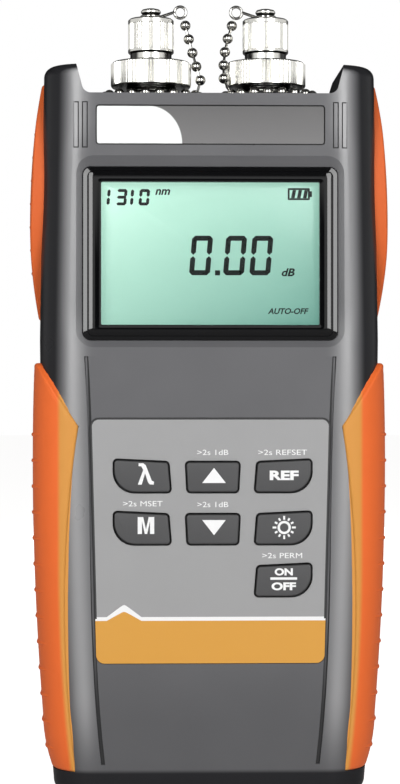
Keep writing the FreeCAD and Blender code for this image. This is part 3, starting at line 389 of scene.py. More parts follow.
def stacked(rings, closed=False):
    """Rings of equal count joined in turn, capped at both ends or closed on themselves."""
    count = len(rings[0])
    verts = [point for ring in rings for point in ring]
    faces = []
    rows = len(rings) if closed else len(rings) - 1
    for row in range(rows):
        low, high = row * count, ((row + 1) % len(rings)) * count
        for i in range(count):
            j = (i + 1) % count
            faces.append((low + i, low + j, high + j, high + i))
    if not closed:
        faces.append(tuple(range(count))[::-1])
        faces.append(tuple(range((len(rings) - 1) * count, len(rings) * count)))
    return verts, faces


def plate(outline, levels):
    """Solid through the outline at each level, given as how far inwards and at what depth it lies."""
    return stacked([[Vector((p.x, depth, p.y)) for p in inset(outline, gap)] for gap, depth in levels])


def framed(outer, inner, levels):
    """Closed rim between two outlines; each level is a share of the way to the inner one and a depth."""
    rings = []
    for share, depth in levels:
        flat = (a.lerp(b, share) for a, b in zip(outer, inner))
        rings.append([Vector((p.x, depth, p.y)) for p in flat])
    return stacked(rings, closed=True)


def rounded_levels(back, front, radius, steps=4):
    """Levels from a plate's back to its front with a rounded front edge; the front faces -Y."""
    turns = [math.pi / 2 * k / steps for k in range(steps + 1)]
    return [(0.0, back)] + [(radius * (1 - math.cos(t)), front + radius * (1 - math.sin(t))) for t in turns]


def lathe(profile, centre, count=96, closed=True):
    """Solid of revolution about +Z; the profile's corners are (radius, height)."""
    cx, cy = centre
    turns = [2 * math.pi * i / count for i in range(count)]
    rings = [
        [Vector((cx + radius * math.cos(t), cy + radius * math.sin(t), height)) for t in turns]
        for radius, height in profile]
    return stacked(rings, closed)


def tube(points, radius, sides=12, closed=False):
    """Round bar along a line of points."""
    rings = []
    count = len(points)
    up = None
    for i, here in enumerate(points):
        ahead = points[(i + 1) % count] if closed else points[min(i + 1, count - 1)]
        behind = points[i - 1] if closed else points[max(i - 1, 0)]
        along = (ahead - behind).normalized()
        if up is None:
            up = along.orthogonal().normalized()
        up = (up - along * up.dot(along)).normalized()
        across = along.cross(up)
        turns = [2 * math.pi * k / sides for k in range(sides)]
        rings.append([here + (up * math.cos(t) + across * math.sin(t)) * radius for t in turns])
    return stacked(rings, closed)


def block(low, high):
    corners = [Vector((x, low[1], z)) for x, z in (
        (low[0], low[2]), (high[0], low[2]), (high[0], high[2]), (low[0], high[2]))]
    return stacked([corners, [c + Vector((0, high[1] - low[1], 0)) for c in corners]])


def letters(text, centre, size, face_y, depth, weight=0.0, slant=0.0, spacing=1.0):
    """Raised print that fills a width and height round its centre, on a face that looks along -Y."""
    curve = bpy.data.curves.new("print", "FONT")
    curve.body = text
    curve.shear = slant
    curve.offset = weight
    curve.space_character = spacing
    curve.extrude = 0.5
    curve.resolution_u = 4
    item = bpy.data.objects.new("print", curve)
    bpy.context.scene.collection.objects.link(item)
    mesh = bpy.data.meshes.new_from_object(item.evaluated_get(bpy.context.evaluated_depsgraph_get()))
    points = [v.co.copy() for v in mesh.vertices]
    faces = [tuple(p.vertices) for p in mesh.polygons]
    bpy.data.objects.remove(item)
    bpy.data.curves.remove(curve)
    bpy.data.meshes.remove(mesh)
    low = Vector((min(p.x for p in points), min(p.y for p in points)))
    high = Vector((max(p.x for p in points), max(p.y for p in points)))
    scale_x, scale_z = size[0] / (high.x - low.x), size[1] / (high.y - low.y)
    verts = [
        Vector((
            centre[0] + (p.x - (low.x + high.x) / 2) * scale_x,
            face_y - depth * (p.z + 0.5) + depth / 4,
            centre[1] + (p.y - (low.y + high.y) / 2) * scale_z))
        for p in points]
    return verts, faces


# Pieces

def finish_mesh(mesh, smooth_angle):
    shape = bmesh.new()
    shape.from_mesh(mesh)
    bmesh.ops.remove_doubles(shape, verts=shape.verts, dist=1e-7)
    bmesh.ops.recalc_face_normals(shape, faces=shape.faces)
    shape.to_mesh(mesh)
    shape.free()
    mesh.shade_smooth()
    mesh.set_sharp_from_angle(angle=math.radians(smooth_angle))


def raw_piece(name, materials, *solids, smooth_angle=35):
    """Object made of closed solids; a solid's third item, where it has one, is its material's number."""
    verts, faces, numbers = [], [], []
    for solid in solids:
        start = len(verts)
        verts += [point * MM for point in solid[0]]
        faces += [tuple(start + i for i in face) for face in solid[1]]
        numbers += [solid[2] if len(solid) > 2 else 0] * len(solid[1])
    mesh = bpy.data.meshes.new(name)
    mesh.from_pydata(verts, [], faces)
    for material in materials:
        mesh.materials.append(material)
    mesh.polygons.foreach_set("material_index", numbers)
    finish_mesh(mesh, smooth_angle)
    made = bpy.data.objects.new(name, mesh)
    bpy.context.scene.collection.objects.link(made)
    return made


def joined_to(made, body, slot_name, *replaced):
    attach(made, body)
    if replaced:
        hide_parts(*replaced)
    return made


def painted(material, *names):
    """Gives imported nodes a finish."""
    for name in names:
        data = NODES[name].data
        data.materials.clear()
        data.materials.append(material)


def geometry_tree(name, inputs):
    """Geometry tree with a geometry socket at each end and a named input for each value."""
    tree = bpy.data.node_groups.new(name, "GeometryNodeTree")
    tree.interface.new_socket("Geometry", in_out="INPUT", socket_type="NodeSocketGeometry")
    for label, kind in inputs.items():
        tree.interface.new_socket(label, in_out="INPUT", socket_type=kind)
    tree.interface.new_socket("Geometry", in_out="OUTPUT", socket_type="NodeSocketGeometry")
    return tree, node(tree, "NodeGroupInput").outputs


def close_tree(tree, geometries, material):
    """Joins what the tree has made, makes its copies real and gives them their material."""
    whole = node(tree, "GeometryNodeJoinGeometry")
    for geometry in geometries:
        tree.links.new(geometry, whole.inputs[0])
    real = node(tree, "GeometryNodeRealizeInstances", {0: whole.outputs[0]}).outputs[0]
    dressed = node(tree, "GeometryNodeSetMaterial", {"Geometry": real, "Material": material}).outputs[0]
    node(tree, "NodeGroupOutput", {0: dressed})


def grown(made, tree, values, smooth_angle=35):
    """Runs a geometry tree on an object once and keeps the result as its plain mesh."""
    modifier = made.modifiers.new(tree.name, "NODES")
    modifier.node_group = tree
    for item in tree.interface.items_tree:
        if item.item_type == "SOCKET" and item.in_out == "INPUT" and item.name in values:
            modifier[item.identifier] = values[item.name]
    made.update_tag()
    mesh = bpy.data.meshes.new_from_object(made.evaluated_get(bpy.context.evaluated_depsgraph_get()))
    made.modifiers.remove(modifier)
    mesh.name = made.name
    mesh.materials.clear()
    mesh.materials.append(values["Material"])
    mesh.polygons.foreach_set("material_index", [0] * len(mesh.polygons))
    made.data = mesh
    finish_mesh(mesh, smooth_angle)
    return made


def ridge_tree():
    """Upright ridges round a collar, added to the turned body that comes in."""
    tree, sockets = geometry_tree("Ridges round a collar", {
        "Count": "NodeSocketInt", "Collar radius": "NodeSocketFloat", "Ridge width": "NodeSocketFloat",
        "Ridge length": "NodeSocketFloat", "Centre": "NodeSocketVector", "Material": "NodeSocketMaterial"})
    circle = node(tree, "GeometryNodeMeshCircle", {
        "Vertices": sockets["Count"], "Radius": sockets["Collar radius"]}).outputs[0]
    ridge = node(tree, "GeometryNodeMeshCylinder", {
        "Vertices": 4, "Radius": sockets["Ridge width"], "Depth": sockets["Ridge length"]}).outputs[0]
    step = Field(tree, 2 * math.pi) / sockets["Count"]
    turn = Field(tree, node(tree, "GeometryNodeInputIndex").outputs[0]) * step
    turned = node(tree, "ShaderNodeCombineXYZ", {2: turn}).outputs[0]
    copies = node(tree, "GeometryNodeInstanceOnPoints", {
        "Points": circle, "Instance": ridge, "Rotation": turned}).outputs[0]
    moved = node(tree, "GeometryNodeTransform", {
        "Geometry": copies, "Translation": sockets["Centre"]}).outputs[0]
    close_tree(tree, (sockets["Geometry"], moved), sockets["Material"])
    return tree


def bead_tree():
    """Beads on a line that comes in as edges, with a wire through them."""
    tree, sockets = geometry_tree("Beads on a wire", {
        "Beads": "NodeSocketInt", "Bead radius": "NodeSocketFloat", "Wire radius": "NodeSocketFloat",
        "Material": "NodeSocketMaterial"})
    line = node(tree, "GeometryNodeMeshToCurve", {0: sockets["Geometry"]}).outputs[0]
    spaced = node(tree, "GeometryNodeResampleCurve", {"Curve": line, "Count": sockets["Beads"]}).outputs[0]
    ball = node(tree, "GeometryNodeMeshUVSphere", {
        "Segments": 20, "Rings": 12, "Radius": sockets["Bead radius"]}).outputs[0]
    tangent = node(tree, "GeometryNodeInputTangent").outputs[0]
    aligned = node(tree, "FunctionNodeAlignRotationToVector", {"Vector": tangent}, axis="Z").outputs[0]
    copies = node(tree, "GeometryNodeInstanceOnPoints", {
        "Points": spaced, "Instance": ball, "Rotation": aligned}).outputs[0]
    section = node(tree, "GeometryNodeCurvePrimitiveCircle", {
        "Resolution": 8, "Radius": sockets["Wire radius"]}).outputs[0]
    wire = node(tree, "GeometryNodeCurveToMesh", {
        "Curve": line, "Profile Curve": section, "Fill Caps": True}).outputs[0]
    close_tree(tree, (copies, wire), sockets["Material"])
    return tree


def copies_tree():
    """Copies of one object's shape at the points that come in."""
    tree, sockets = geometry_tree("Copies at points", {
        "Shape": "NodeSocketObject", "Material": "NodeSocketMaterial"})
    shape = node(tree, "GeometryNodeObjectInfo", {"Object": sockets["Shape"]}).outputs["Geometry"]
    copies = node(tree, "GeometryNodeInstanceOnPoints", {
        "Points": sockets["Geometry"], "Instance": shape}).outputs[0]
    close_tree(tree, (copies,), sockets["Material"])
    return tree


def point_object(name, points, closed_line=None):
    """Object of loose points, or of a line through them; closed_line says whether the line's ends meet."""
    edges = []
    if closed_line is not None:
        edges = [(i, i + 1) for i in range(len(points) - 1)]
        if closed_line:
            edges.append((len(points) - 1, 0))
    mesh = bpy.data.meshes.new(name)
    mesh.from_pydata([point * MM for point in points], edges, [])
    made = bpy.data.objects.new(name, mesh)
    bpy.context.scene.collection.objects.link(made)
    return made


def copied_at(name, points, shape, material, smooth_angle=35):
    """One piece made of a shape's copies at each point; the shape's own object goes."""
    made = point_object(name, points)
    grown(made, copies_tree(), {"Shape": shape, "Material": material}, smooth_angle)
    bpy.data.objects.remove(shape)
    return made


# Case

CASE_CORNER = 9.5
ENGRAVED_REACH = 31.2
WAIST_Z = LENS_LOW.z
WAIST_HALF = 38.7
FOOT_TAPER = 3.4
HEAD_TAPER = 1.0
GROOVE_TOP = (27.9, 99.0)
GROOVE_BEND = (26.3, 40.0)
GROOVE_LOW = (25.65, 25.0)
GROOVE_END = (24.1, 7.4)

# Painted highlight down each shoulder: its place outside the flat front, its shift and its loss beside
# the window, its spread, and the heights between which it changes below and above the window
HIGHLIGHT_PLACE = 1.3
HIGHLIGHT_SHIFT = 1.3
HIGHLIGHT_LOSS = 0.4
HIGHLIGHT_SPREAD = 2.3
WINDOW_STARTS = (101.0, 112.0)
WINDOW_ENDS = (152.0, 143.0)

# Painted shade that darkens the foot of the front, and the height below which the case is painted in its side shade
FOOT_SHADE = 0.24
SHADED_BOTTOM_TOP = 5.8


def flat_reach(z):
    """How far the flat front reaches to each side at a height."""
    below = (WAIST_Z - z).at_least(0.0) / WAIST_Z
    above = (z - WAIST_Z).at_least(0.0) / (CASE_HIGH.z - WAIST_Z)
    return below.squared() * -FOOT_TAPER + above * -HEAD_TAPER + (WAIST_HALF - CASE_CORNER)


def line_through(z, low, high):
    """Reach at a height on the straight line through two (reach, height) points."""
    lean = (high[0] - low[0]) / (high[1] - low[1])
    return z * lean + (low[0] - lean * low[1])


def groove_middle(z):
    """Reach of the middle of the engraved line beside the panel at a height."""
    upper = line_through(z, GROOVE_BEND, GROOVE_TOP)
    centre = line_through(z, GROOVE_LOW, GROOVE_BEND)
    lower = line_through(z, GROOVE_END, GROOVE_LOW)
    return upper.at_most(centre).at_most(lower)


def shoulder_band(x, z, away):
    """Share of the painted highlight that runs down each shoulder, outside the engraved line."""
    beside_window = z.eased(*WINDOW_STARTS) * z.eased(*WINDOW_ENDS)
    offset = (away - (beside_window * HIGHLIGHT_SHIFT + HIGHLIGHT_PLACE)) / HIGHLIGHT_SPREAD
    band = (offset.squared() * -1.0).apply("EXPONENT") * (beside_window * -HIGHLIGHT_LOSS + 1.0)
    outside = (abs(x) > groove_middle(z)).at_least(z > GROOVE_TOP[1])
    return band * outside


def engraved_share(x, y, z, away):
    """Share of painted shade: 1 in the engraved lines, and less in the middle of the groove beside the panel."""
    skin_y = (FRONT_Y + CASE_CORNER) - (CASE_CORNER ** 2 - away.at_least(0.0).squared()).apply("SQRT")
    sunk = (y - skin_y).within(0.14, 1.0)
    near = x.within(-ENGRAVED_REACH, ENGRAVED_REACH)
    grooves, bars = z.within(6.0, LENS_LOW.z - 3.0), z.within(LENS_HIGH.z + 3.0, CASE_HIGH.z - 7.8)
    off_middle = abs(abs(x) - groove_middle(z))
    paler = off_middle.eased(0.27, 0.17) * z.eased(16.0, GROOVE_BEND[1] + 4.0) * (z < WAIST_Z)
    return sunk * near * (grooves + bars) * (1.0 - paler)


def case_plastic():
    """Satin plastic with a painted highlight on its shoulders, and painted shade round the sides, at the foot and in
    the engraved lines.
    """
    look = bpy.context.scene.attenuator_case
    material = surface("moulded_case", look.front, look.roughness, grain=look.grain / MM, relief=0.012)
    tree, shader, tone = base_tone(material)
    side, shoulder, engraved = (tinted(colour) for colour in (look.side, look.shoulder, look.engraved))
    x, y, z = place_axes(tree)
    away = abs(x) - flat_reach(z)
    # Painted shade: the front turns towards the side colour near its foot
    foot = z.eased(GROOVE_BEND[1], 14.0) * FOOT_SHADE
    # Painted highlight down each shoulder
    shoulder_highlight = shoulder_band(x, z, away) * z.eased(3.0, 24.0)
    skin = mixed_colour(tree, shoulder_highlight, mixed_colour(tree, foot, tone, side), shoulder)
    # Painted shade: sides that turn away and the bottom edge take the side colour; the window's recess stays unshaded
    recess = (away < 1.7) * z.within(LENS_LOW.z - 2.0, LENS_HIGH.z + 3.2)
    ahead = facing_ahead(tree).eased(0.78, 0.97).at_least(recess)
    unshaded_share = ahead * z.eased(SHADED_BOTTOM_TOP - 0.6, SHADED_BOTTOM_TOP + 0.6)
    body = mixed_colour(tree, unshaded_share, side, skin)
    # Painted shade in the engraved lines
    lined = mixed_colour(tree, engraved_share(x, y, z, away), body, engraved)
    feed(tree, shader.inputs["Specular IOR Level"], unshaded_share * 0.4 + 0.1)
    feed(tree, shader.inputs["Base Color"], lined)
    return material


class ATTENUATOR_OT_case(bpy.types.Operator):
    """Gives the two halves of the case and the battery door their moulded finish"""
    bl_idname = "attenuator.case"
    bl_label = "Case and battery door"

    def execute(self, context):
        painted(case_plastic(), "front_shell", "rear_shell", "battery_door")
        return {"FINISHED"}


class ATTENUATOR_OT_screws(bpy.types.Operator):
    """Makes the case screws with their cross recesses"""
    bl_idname = "attenuator.screws"
    bl_label = "Case screws"

    head_radius: length_property("Head radius", "Radius of a screw's head", 2.7)
    head_height: length_property("Head height", "Height of a screw's head", 2.0)
    shank_radius: length_property("Shank radius", "Radius of a screw's shank", 1.45)
    arm_half: length_property("Arm half width", "Half width of the cross recess's arms", 0.42)
    arm_reach: length_property("Arm reach", "Reach of the cross recess's arms", 1.5)
    recess_depth: length_property("Recess depth", "Depth of the cross recess", 0.9)

    def execute(self, context):
        low, high = box_mm("case_screws")
        radius, height = self.head_radius / MM, self.head_height / MM
        steel = surface("screw_steel", (0.35, 0.35, 0.34), 0.32, grain=0.5, relief=0.01, metallic=1.0)
        arm, reach = self.arm_half / MM, self.arm_reach / MM
        cross = [
            (-arm, -reach), (arm, -reach), (arm, -arm), (reach, -arm), (reach, arm), (arm, arm),
            (arm, reach), (-arm, reach), (-arm, arm), (-reach, arm), (-reach, -arm), (-arm, -arm)]
        turns = [math.radians(255 + 30 * k) for k in range(12)]
        around = [(math.cos(t) * radius, math.sin(t) * radius) for t in turns]
        head_y = high.y - height
        narrow = self.shank_radius / self.head_radius
        levels = [
            (around, narrow, low.y - head_y), (around, narrow, 0.0), (around, 1.0, 0.0),
            (around, 1.0, height * 0.6), (around, 0.86, height), (cross, 1.0, height),
            (cross, 0.7, height - self.recess_depth / MM)]
        rings = [[Vector((x * share, y, z * share)) for x, z in line] for line, share, y in levels]
        shape = raw_piece("screw_shape", [steel], stacked(rings), smooth_angle=30)
        columns, rows = (low.x + radius, high.x - radius), (low.z + radius, high.z - radius)
        places = [Vector((x, head_y, z)) for x in columns for z in rows]
        made = copied_at("case_screws_turned", places, shape, steel, 30)
        joined_to(made, "case", "screws", "case_screws")
        return {"FINISHED"}


# Soft grips

GRIP_CORNER = 10.0
GRIP_FACE_RISE = 0.45
CASE_PROFILE = ((0.0, 35.3), (20.0, 36.9), (57.0, 38.1), (102.7, 38.7), (165.0, 37.7))
UPPER_SWELL = ((106.4, 39.0, "end"), (129.0, 40.95, "start"), (162.6, 38.2, None))
LOWER_SWELL = ((4.6, 35.4, "end"), (18.0, 38.0, "end"), (76.0, 40.35, "start"), (105.3, 39.6, None))
UPPER_EDGE = ((4.0, 161.6), (10.2, 138.2), (1.2, 107.4))
LOWER_EDGE = ((29.6, 83.3), (32.9, 44.45), (30.4, 5.6))
LOWER_TIP = (38.7, 96.2)
LOWER_TOP = 97.6
GRIP_REACH = (REAR_Y - FRONT_Y) / 2 + GRIP_FACE_RISE

# The pocket under a grip, and the least rubber over its floor
POCKET_DEPTH = 0.9
CORE_CORNER = 8.6
LEAST_RUBBER = 0.3

# Where the painted highlight on a lower grip's front begins, and how that border bends outwards towards its foot
FRONT_BORDER = 34.0
FRONT_BEND = 2.5
FRONT_BEND_Z = 53.0
FRONT_BEND_SIZE = 45.0
UPPER_SHADE = 0.82


def profile_at(stations, z):
    for (low, start), (high, end) in zip(stations, stations[1:]):
        if z <= high:
            return start + (end - start) * (z - low) / (high - low)
    return stations[-1][1]


def swell_at(stations, z):
    """Half width of a grip: parabolas that crest at the station whose turn they name."""
    for (low, start, crest), (high, end, _) in zip(stations, stations[1:]):
        if z <= high:
            t = (z - low) / (high - low)
            share = t * t if crest == "start" else 1 - (1 - t) ** 2
            return start + (end - start) * share
    return stations[-1][1]


def arc_through(points, z):
    """Half reach of a circular arc through three (reach, height) points."""
    (ax, ay), (bx, by), (cx, cy) = points
    d = 2 * (ax * (by - cy) + bx * (cy - ay) + cx * (ay - by))
    ux = ((ax**2 + ay**2) * (by - cy) + (bx**2 + by**2) * (cy - ay) + (cx**2 + cy**2) * (ay - by)) / d
    uy = ((ax**2 + ay**2) * (cx - bx) + (bx**2 + by**2) * (ax - cx) + (cx**2 + cy**2) * (bx - ax)) / d
    radius = math.hypot(ax - ux, ay - uy)
    return ux + math.sqrt(max(radius**2 - (z - uy) ** 2, 0.0))


def section_point(half, reach, corner, s):
    """Point and outward normal at s along a section, measured from the middle of its side."""
    straight = reach - corner
    side = math.copysign(1.0, s)
    s = abs(s)
    if s <= straight:
        return Vector((half, side * s)), Vector((1.0, 0.0))
    turn = (s - straight) / corner
    if turn <= math.pi / 2:
        normal = Vector((math.cos(turn), side * math.sin(turn)))
        return Vector((half - corner, side * straight)) + normal * corner, normal
    beyond = (turn - math.pi / 2) * corner
    return Vector((half - corner - beyond, side * reach)), Vector((0.0, side))


def section_length(half, x=None, y=None):
    """Length along a grip's section from the middle of its side to an x on its front or a y on its side."""
    straight = GRIP_REACH - GRIP_CORNER
    if y is not None:
        return y if y <= straight else straight + GRIP_CORNER * math.asin(min((y - straight) / GRIP_CORNER, 1.0))
    if x >= half:
        return straight
    if x >= half - GRIP_CORNER:
        return straight + GRIP_CORNER * math.acos((x - half + GRIP_CORNER) / GRIP_CORNER)
    return straight + GRIP_CORNER * math.pi / 2 + (half - GRIP_CORNER - x)


def spread(count, edge, total):
    """Distances along a total length, close together within edge of both ends."""
    close = [edge * (1 - math.cos(math.pi / 2 * k / 4)) for k in range(5)]
    if total <= 2.2 * edge:
        return [total * k / (count + 9) for k in range(count + 10)]
    inner = [edge + (total - 2 * edge) * k / (count + 1) for k in range(1, count + 1)]
    return close + inner + [total - d for d in reversed(close)]


def edge_drop(distance, radius):
    """How far a rounded rim lies below the face at a distance from its edge."""
    if distance >= radius:
        return 0.0
    return radius - math.sqrt(max(radius**2 - (radius - distance) ** 2, 0.0))


def grip_solid(side, low_z, high_z, swell, edge_length, rim):
    """Closed solid of one grip: skin with a rounded rim outside, the pocket's floor inside."""
    core_reach = GRIP_REACH - GRIP_FACE_RISE - POCKET_DEPTH
    core_longest = core_reach - CORE_CORNER + CORE_CORNER * math.pi / 2 + 30
    outer, inner = [], []
    for rise in spread(46, rim, high_z - low_z):
        z = low_z + rise
        half = swell_at(swell, z)
        length = edge_length(half, z)
        core_half = profile_at(CASE_PROFILE, z) - POCKET_DEPTH
        skin_row, core_row = [], []
        for d in spread(34, rim, 2 * length):
            point, normal = section_point(half, GRIP_REACH, GRIP_CORNER, d - length)
            drop = max(edge_drop(min(d, 2 * length - d), rim), edge_drop(min(z - low_z, high_z - z), rim))
            skin = point - normal * drop
            if abs(normal.y) > 0.999:
                core = Vector((point.x, math.copysign(core_reach, normal.y)))
            else:
                share = (d - length) / length
                core, _ = section_point(core_half, core_reach, CORE_CORNER, share * min(length, core_longest))
            skin_row.append(Vector((side * skin.x, MIDDLE_Y + skin.y, z)))
            core_row.append(Vector((side * min(core.x, skin.x - LEAST_RUBBER), MIDDLE_Y + core.y, z)))
        outer.append(skin_row)
        inner.append(core_row)
    return shell_between(outer, inner)


def shell_between(outer, inner):
    """Closed solid between two grids of points with the same rows and columns."""
    rows, columns = len(outer), len(outer[0])
    verts = [point for row in outer for point in row] + [point for row in inner for point in row]
    shift = rows * columns
    faces = []
    for r in range(rows - 1):
        for c in range(columns - 1):
            a, b = r * columns + c, (r + 1) * columns + c
            faces.append((a, a + 1, b + 1, b))
            faces.append((shift + a, shift + b, shift + b + 1, shift + a + 1))
    rim = [c for c in range(columns)]
    rim += [r * columns + columns - 1 for r in range(1, rows)]
    rim += [(rows - 1) * columns + c for c in range(columns - 2, -1, -1)]
    rim += [r * columns for r in range(rows - 2, 0, -1)]
    for i, a in enumerate(rim):
        b = rim[(i + 1) % len(rim)]
        faces.append((a, b, shift + b, shift + a))
    return verts, faces


def upper_edge_length(half, z):
    return section_length(half, y=arc_through(UPPER_EDGE, z))


def lower_edge_length(half, z):
    peak_x, peak_z = LOWER_EDGE[0]
    if z <= peak_z:
        return section_length(half, x=arc_through(LOWER_EDGE, z))
    lean = (LOWER_TIP[0] - peak_x) / (LOWER_TIP[1] - peak_z)
    return section_length(half, x=peak_x + lean * (z - peak_z))


def grip_rubber():
    """Soft rubber with a painted highlight where a lower grip turns to the front."""
    look = bpy.context.scene.attenuator_grip
    material = surface("grip_rubber", look.side, 0.55, grain=0.4, relief=0.012, mottling=0.04, specular=0.3)
    tree, shader, tone = base_tone(material)
    x, _, z = place_axes(tree)
    lower = z < LENS_LOW.z
    sunk = ((FRONT_BEND_Z - z) / FRONT_BEND_SIZE).at_least(0.0)
    border = sunk.squared() * -FRONT_BEND + FRONT_BORDER
    # Painted highlight on the front of each lower grip
    inner = (abs(x) - border).eased(0.7, -0.5)
    sides = mixed_colour(tree, lower, tinted(look.side, UPPER_SHADE), tone)
    feed(tree, shader.inputs["Base Color"], mixed_colour(tree, inner * lower, sides, tinted(look.front)))
    shader.inputs["Sheen Weight"].default_value = 0.05
    return material


LOWER_NUB_END = GRIP_REACH - GRIP_CORNER + GRIP_CORNER * math.radians(40)
UPPER_NUB_END = 5.6


def grip_nubs(name, side, heights, swell, end, rubber):
    """Cross ribs of a grip: the same bent bar at each height, as long each way as its end says."""
    radius = bpy.context.scene.attenuator_grip.nub / MM
    line = []
    for k in range(25):
        point, normal = section_point(0.0, GRIP_REACH, GRIP_CORNER, -end + 2 * end * k / 24)
        taper = radius * (1 - (abs(k - 12) / 12) ** 6)
        inner = point - normal * (radius * 1.1 - taper * 0.75)
        line.append(Vector((side * inner.x, inner.y, 0.0)))
    shape = raw_piece(name + "_shape", [rubber], tube(line, radius, 10))
    places = [Vector((side * swell_at(swell, z), MIDDLE_Y, z)) for z in heights]
    return copied_at(name, places, shape, rubber)


class ATTENUATOR_OT_grips(bpy.types.Operator):
    """Makes the four soft grips with their rounded rims and cross ribs"""
    bl_idname = "attenuator.grips"
    bl_label = "Soft grips"

    def execute(self, context):
        rubber = grip_rubber()
        rim = context.scene.attenuator_grip.edge / MM
        upper_ribs = [150.2 - 5.33 * i for i in range(7)]
        lower_ribs = [81.3 - 5.9 * i for i in range(13)]
        upper = (UPPER_EDGE[2][1], UPPER_EDGE[0][1], UPPER_SWELL, upper_edge_length)
        lower = (LOWER_EDGE[2][1], LOWER_TOP, LOWER_SWELL, lower_edge_length)
        for name, side in SIDES:
            for part, outline, ribs, end in (
                    ("upper", upper, upper_ribs, UPPER_NUB_END), ("lower", lower, lower_ribs, LOWER_NUB_END)):
                solid = grip_solid(side, *outline, rim)
                made = raw_piece(f"soft_grip_{part}_{name}", [rubber], solid, smooth_angle=50)
                joined_to(made, "case", "grip", f"grip_{part}_{name}")
                nubs = grip_nubs(f"grip_nubs_{part}_{name}", side, ribs, outline[2], end, rubber)
                joined_to(nubs, "case", "grip")
        return {"FINISHED"}


# Window and display

def glossy_black():
    look = bpy.context.scene.attenuator_case
    return surface(
        "glossy_border", look.gloss_black, 0.05, grain=2.0, relief=0.0005, mottling=0.02, roughness_spread=0.02,
        specular=0.5)


def clear_pane():
    material = surface(
        "clear_pane", (0.95, 0.98, 0.97), 0.02, grain=3.0, relief=0.0002, mottling=0.01, roughness_spread=0.01,
        specular=0.15)
    tree, shader = shader_of(material)
    shader.inputs["Transmission Weight"].default_value = 1.0
    shader.inputs["IOR"].default_value = 1.3
    return material


def display_face():
    """Backlit display with a painted reflection that makes it light in its upper left corner and dark in its lower
    right.
    """
    look = bpy.context.scene.attenuator_display
    material = surface(
        "display_face", look.light, 0.3, grain=0.6, relief=0.002, mottling=0.01, roughness_spread=0.03)
    tree, shader = shader_of(material)
    x, _, z = place_axes(tree)
    # Painted reflection: the colour and the glow fade from the upper left to the lower right
    across, down = x / 70.0 + 0.5, (LENS_Z - z) / 46.0 + 0.5
    share = (across + down) * 0.7 - 0.22
    for key, strength in (("Emission Color", 1.0), ("Base Color", UNLIT_SHARE)):
        colour = mixed_colour(tree, share, tinted(look.light, strength), tinted(look.dark, strength))
        feed(tree, shader.inputs[key], colour)
    shader.inputs["Emission Strength"].default_value = look.glow
    return material


SEGMENTS = {"0": "abcdef", "1": "bc", "3": "abcdg"}
SEGMENT_GAP = 0.12
SLANT = math.tan(math.radians(5))
UNLIT_SHARE = 0.3

# Figures with the left end of each, their foot, size and thickness; words with their middle and size
FIGURES = (
    ("1310", (-25.1, -21.3, -19.8, -16.2), 133.15, (2.35, 3.7), 0.68),
    ("000", (-4.8, 2.9, 8.85), 117.4, (4.75, 8.95), 1.15))
POINT_PLACE = (1.7, 117.95)
DISPLAY_WORDS = (
    ("nm", (-10.7, 136.2), (3.4, 1.3)), ("dB", (17.7, 118.1), (3.0, 1.8)),
    ("AUTO-OFF", (17.7, 109.3), (9.3, 1.35)))
BATTERY_PLACE = (20.1, 135.8)


def segment_bars(figure, left, bottom, width, height, thick, flat):
    """Lit bars of one seven-segment figure."""
    half, edge = height / 2, thick / 2
    right, top = width - edge, height - edge
    spans = {
        "a": ((0, top), (width, top)), "g": ((0, half), (width, half)), "d": ((0, edge), (width, edge)),
        "b": ((right, half), (right, height)), "c": ((right, 0), (right, half)),
        "f": ((edge, half), (edge, height)), "e": ((edge, 0), (edge, half))}
    solids = []
    for bar in SEGMENTS[figure]:
        start, end = (Vector(corner) for corner in spans[bar])
        along = (end - start).normalized()
        across = Vector((-along.y, along.x)) * edge
        start, end = start + along * thick * SEGMENT_GAP, end - along * thick * SEGMENT_GAP
        nose = along * edge
        corners = [
            start, start + nose - across, end - nose - across, end, end - nose + across, start + nose + across]
        solids.append(plate([Vector((left + p.x + SLANT * p.y, bottom + p.y)) for p in corners], flat))
    return solids


def display_figures(face_y, depth):
    """Everything that the display shows."""
    flat = [(0.0, face_y + depth / 4), (0.0, face_y - depth)]
    solids = []
    for figures, lefts, bottom, size, thick in FIGURES:
        for figure, left in zip(figures, lefts):
            solids += segment_bars(figure, left, bottom, *size, thick, flat)
    solids.append(plate(rectangle(1.15, 1.15, 0.1, POINT_PLACE), flat))
    solids += [letters(text, place, size, face_y, depth, 0.03, 0.25) for text, place, size in DISPLAY_WORDS]
    cx, cz = BATTERY_PLACE
    rim = rectangle(5.0, 2.7, 0.2, BATTERY_PLACE, 2)
    solids.append(framed(rim, inset(rim, 0.42), rim_levels(flat)))
    solids.append(plate(rectangle(0.5, 1.3, 0.05, (cx + 2.75, cz)), flat))
    for i in range(3):
        x = cx - 1.75 + 1.35 * i
        bar = ((x, cz - 0.9), (x + 0.8, cz - 0.9), (x + 1.15, cz + 0.9), (x + 0.35, cz + 0.9))
        solids.append(plate([Vector(corner) for corner in bar], flat))
    return solids


def rim_levels(flat):
    """Levels of a framed rim that is as thick as a flat print."""
    back, front = flat[0][1], flat[1][1]
    return [(0.0, back), (0.0, front), (1.0, front), (1.0, back)]


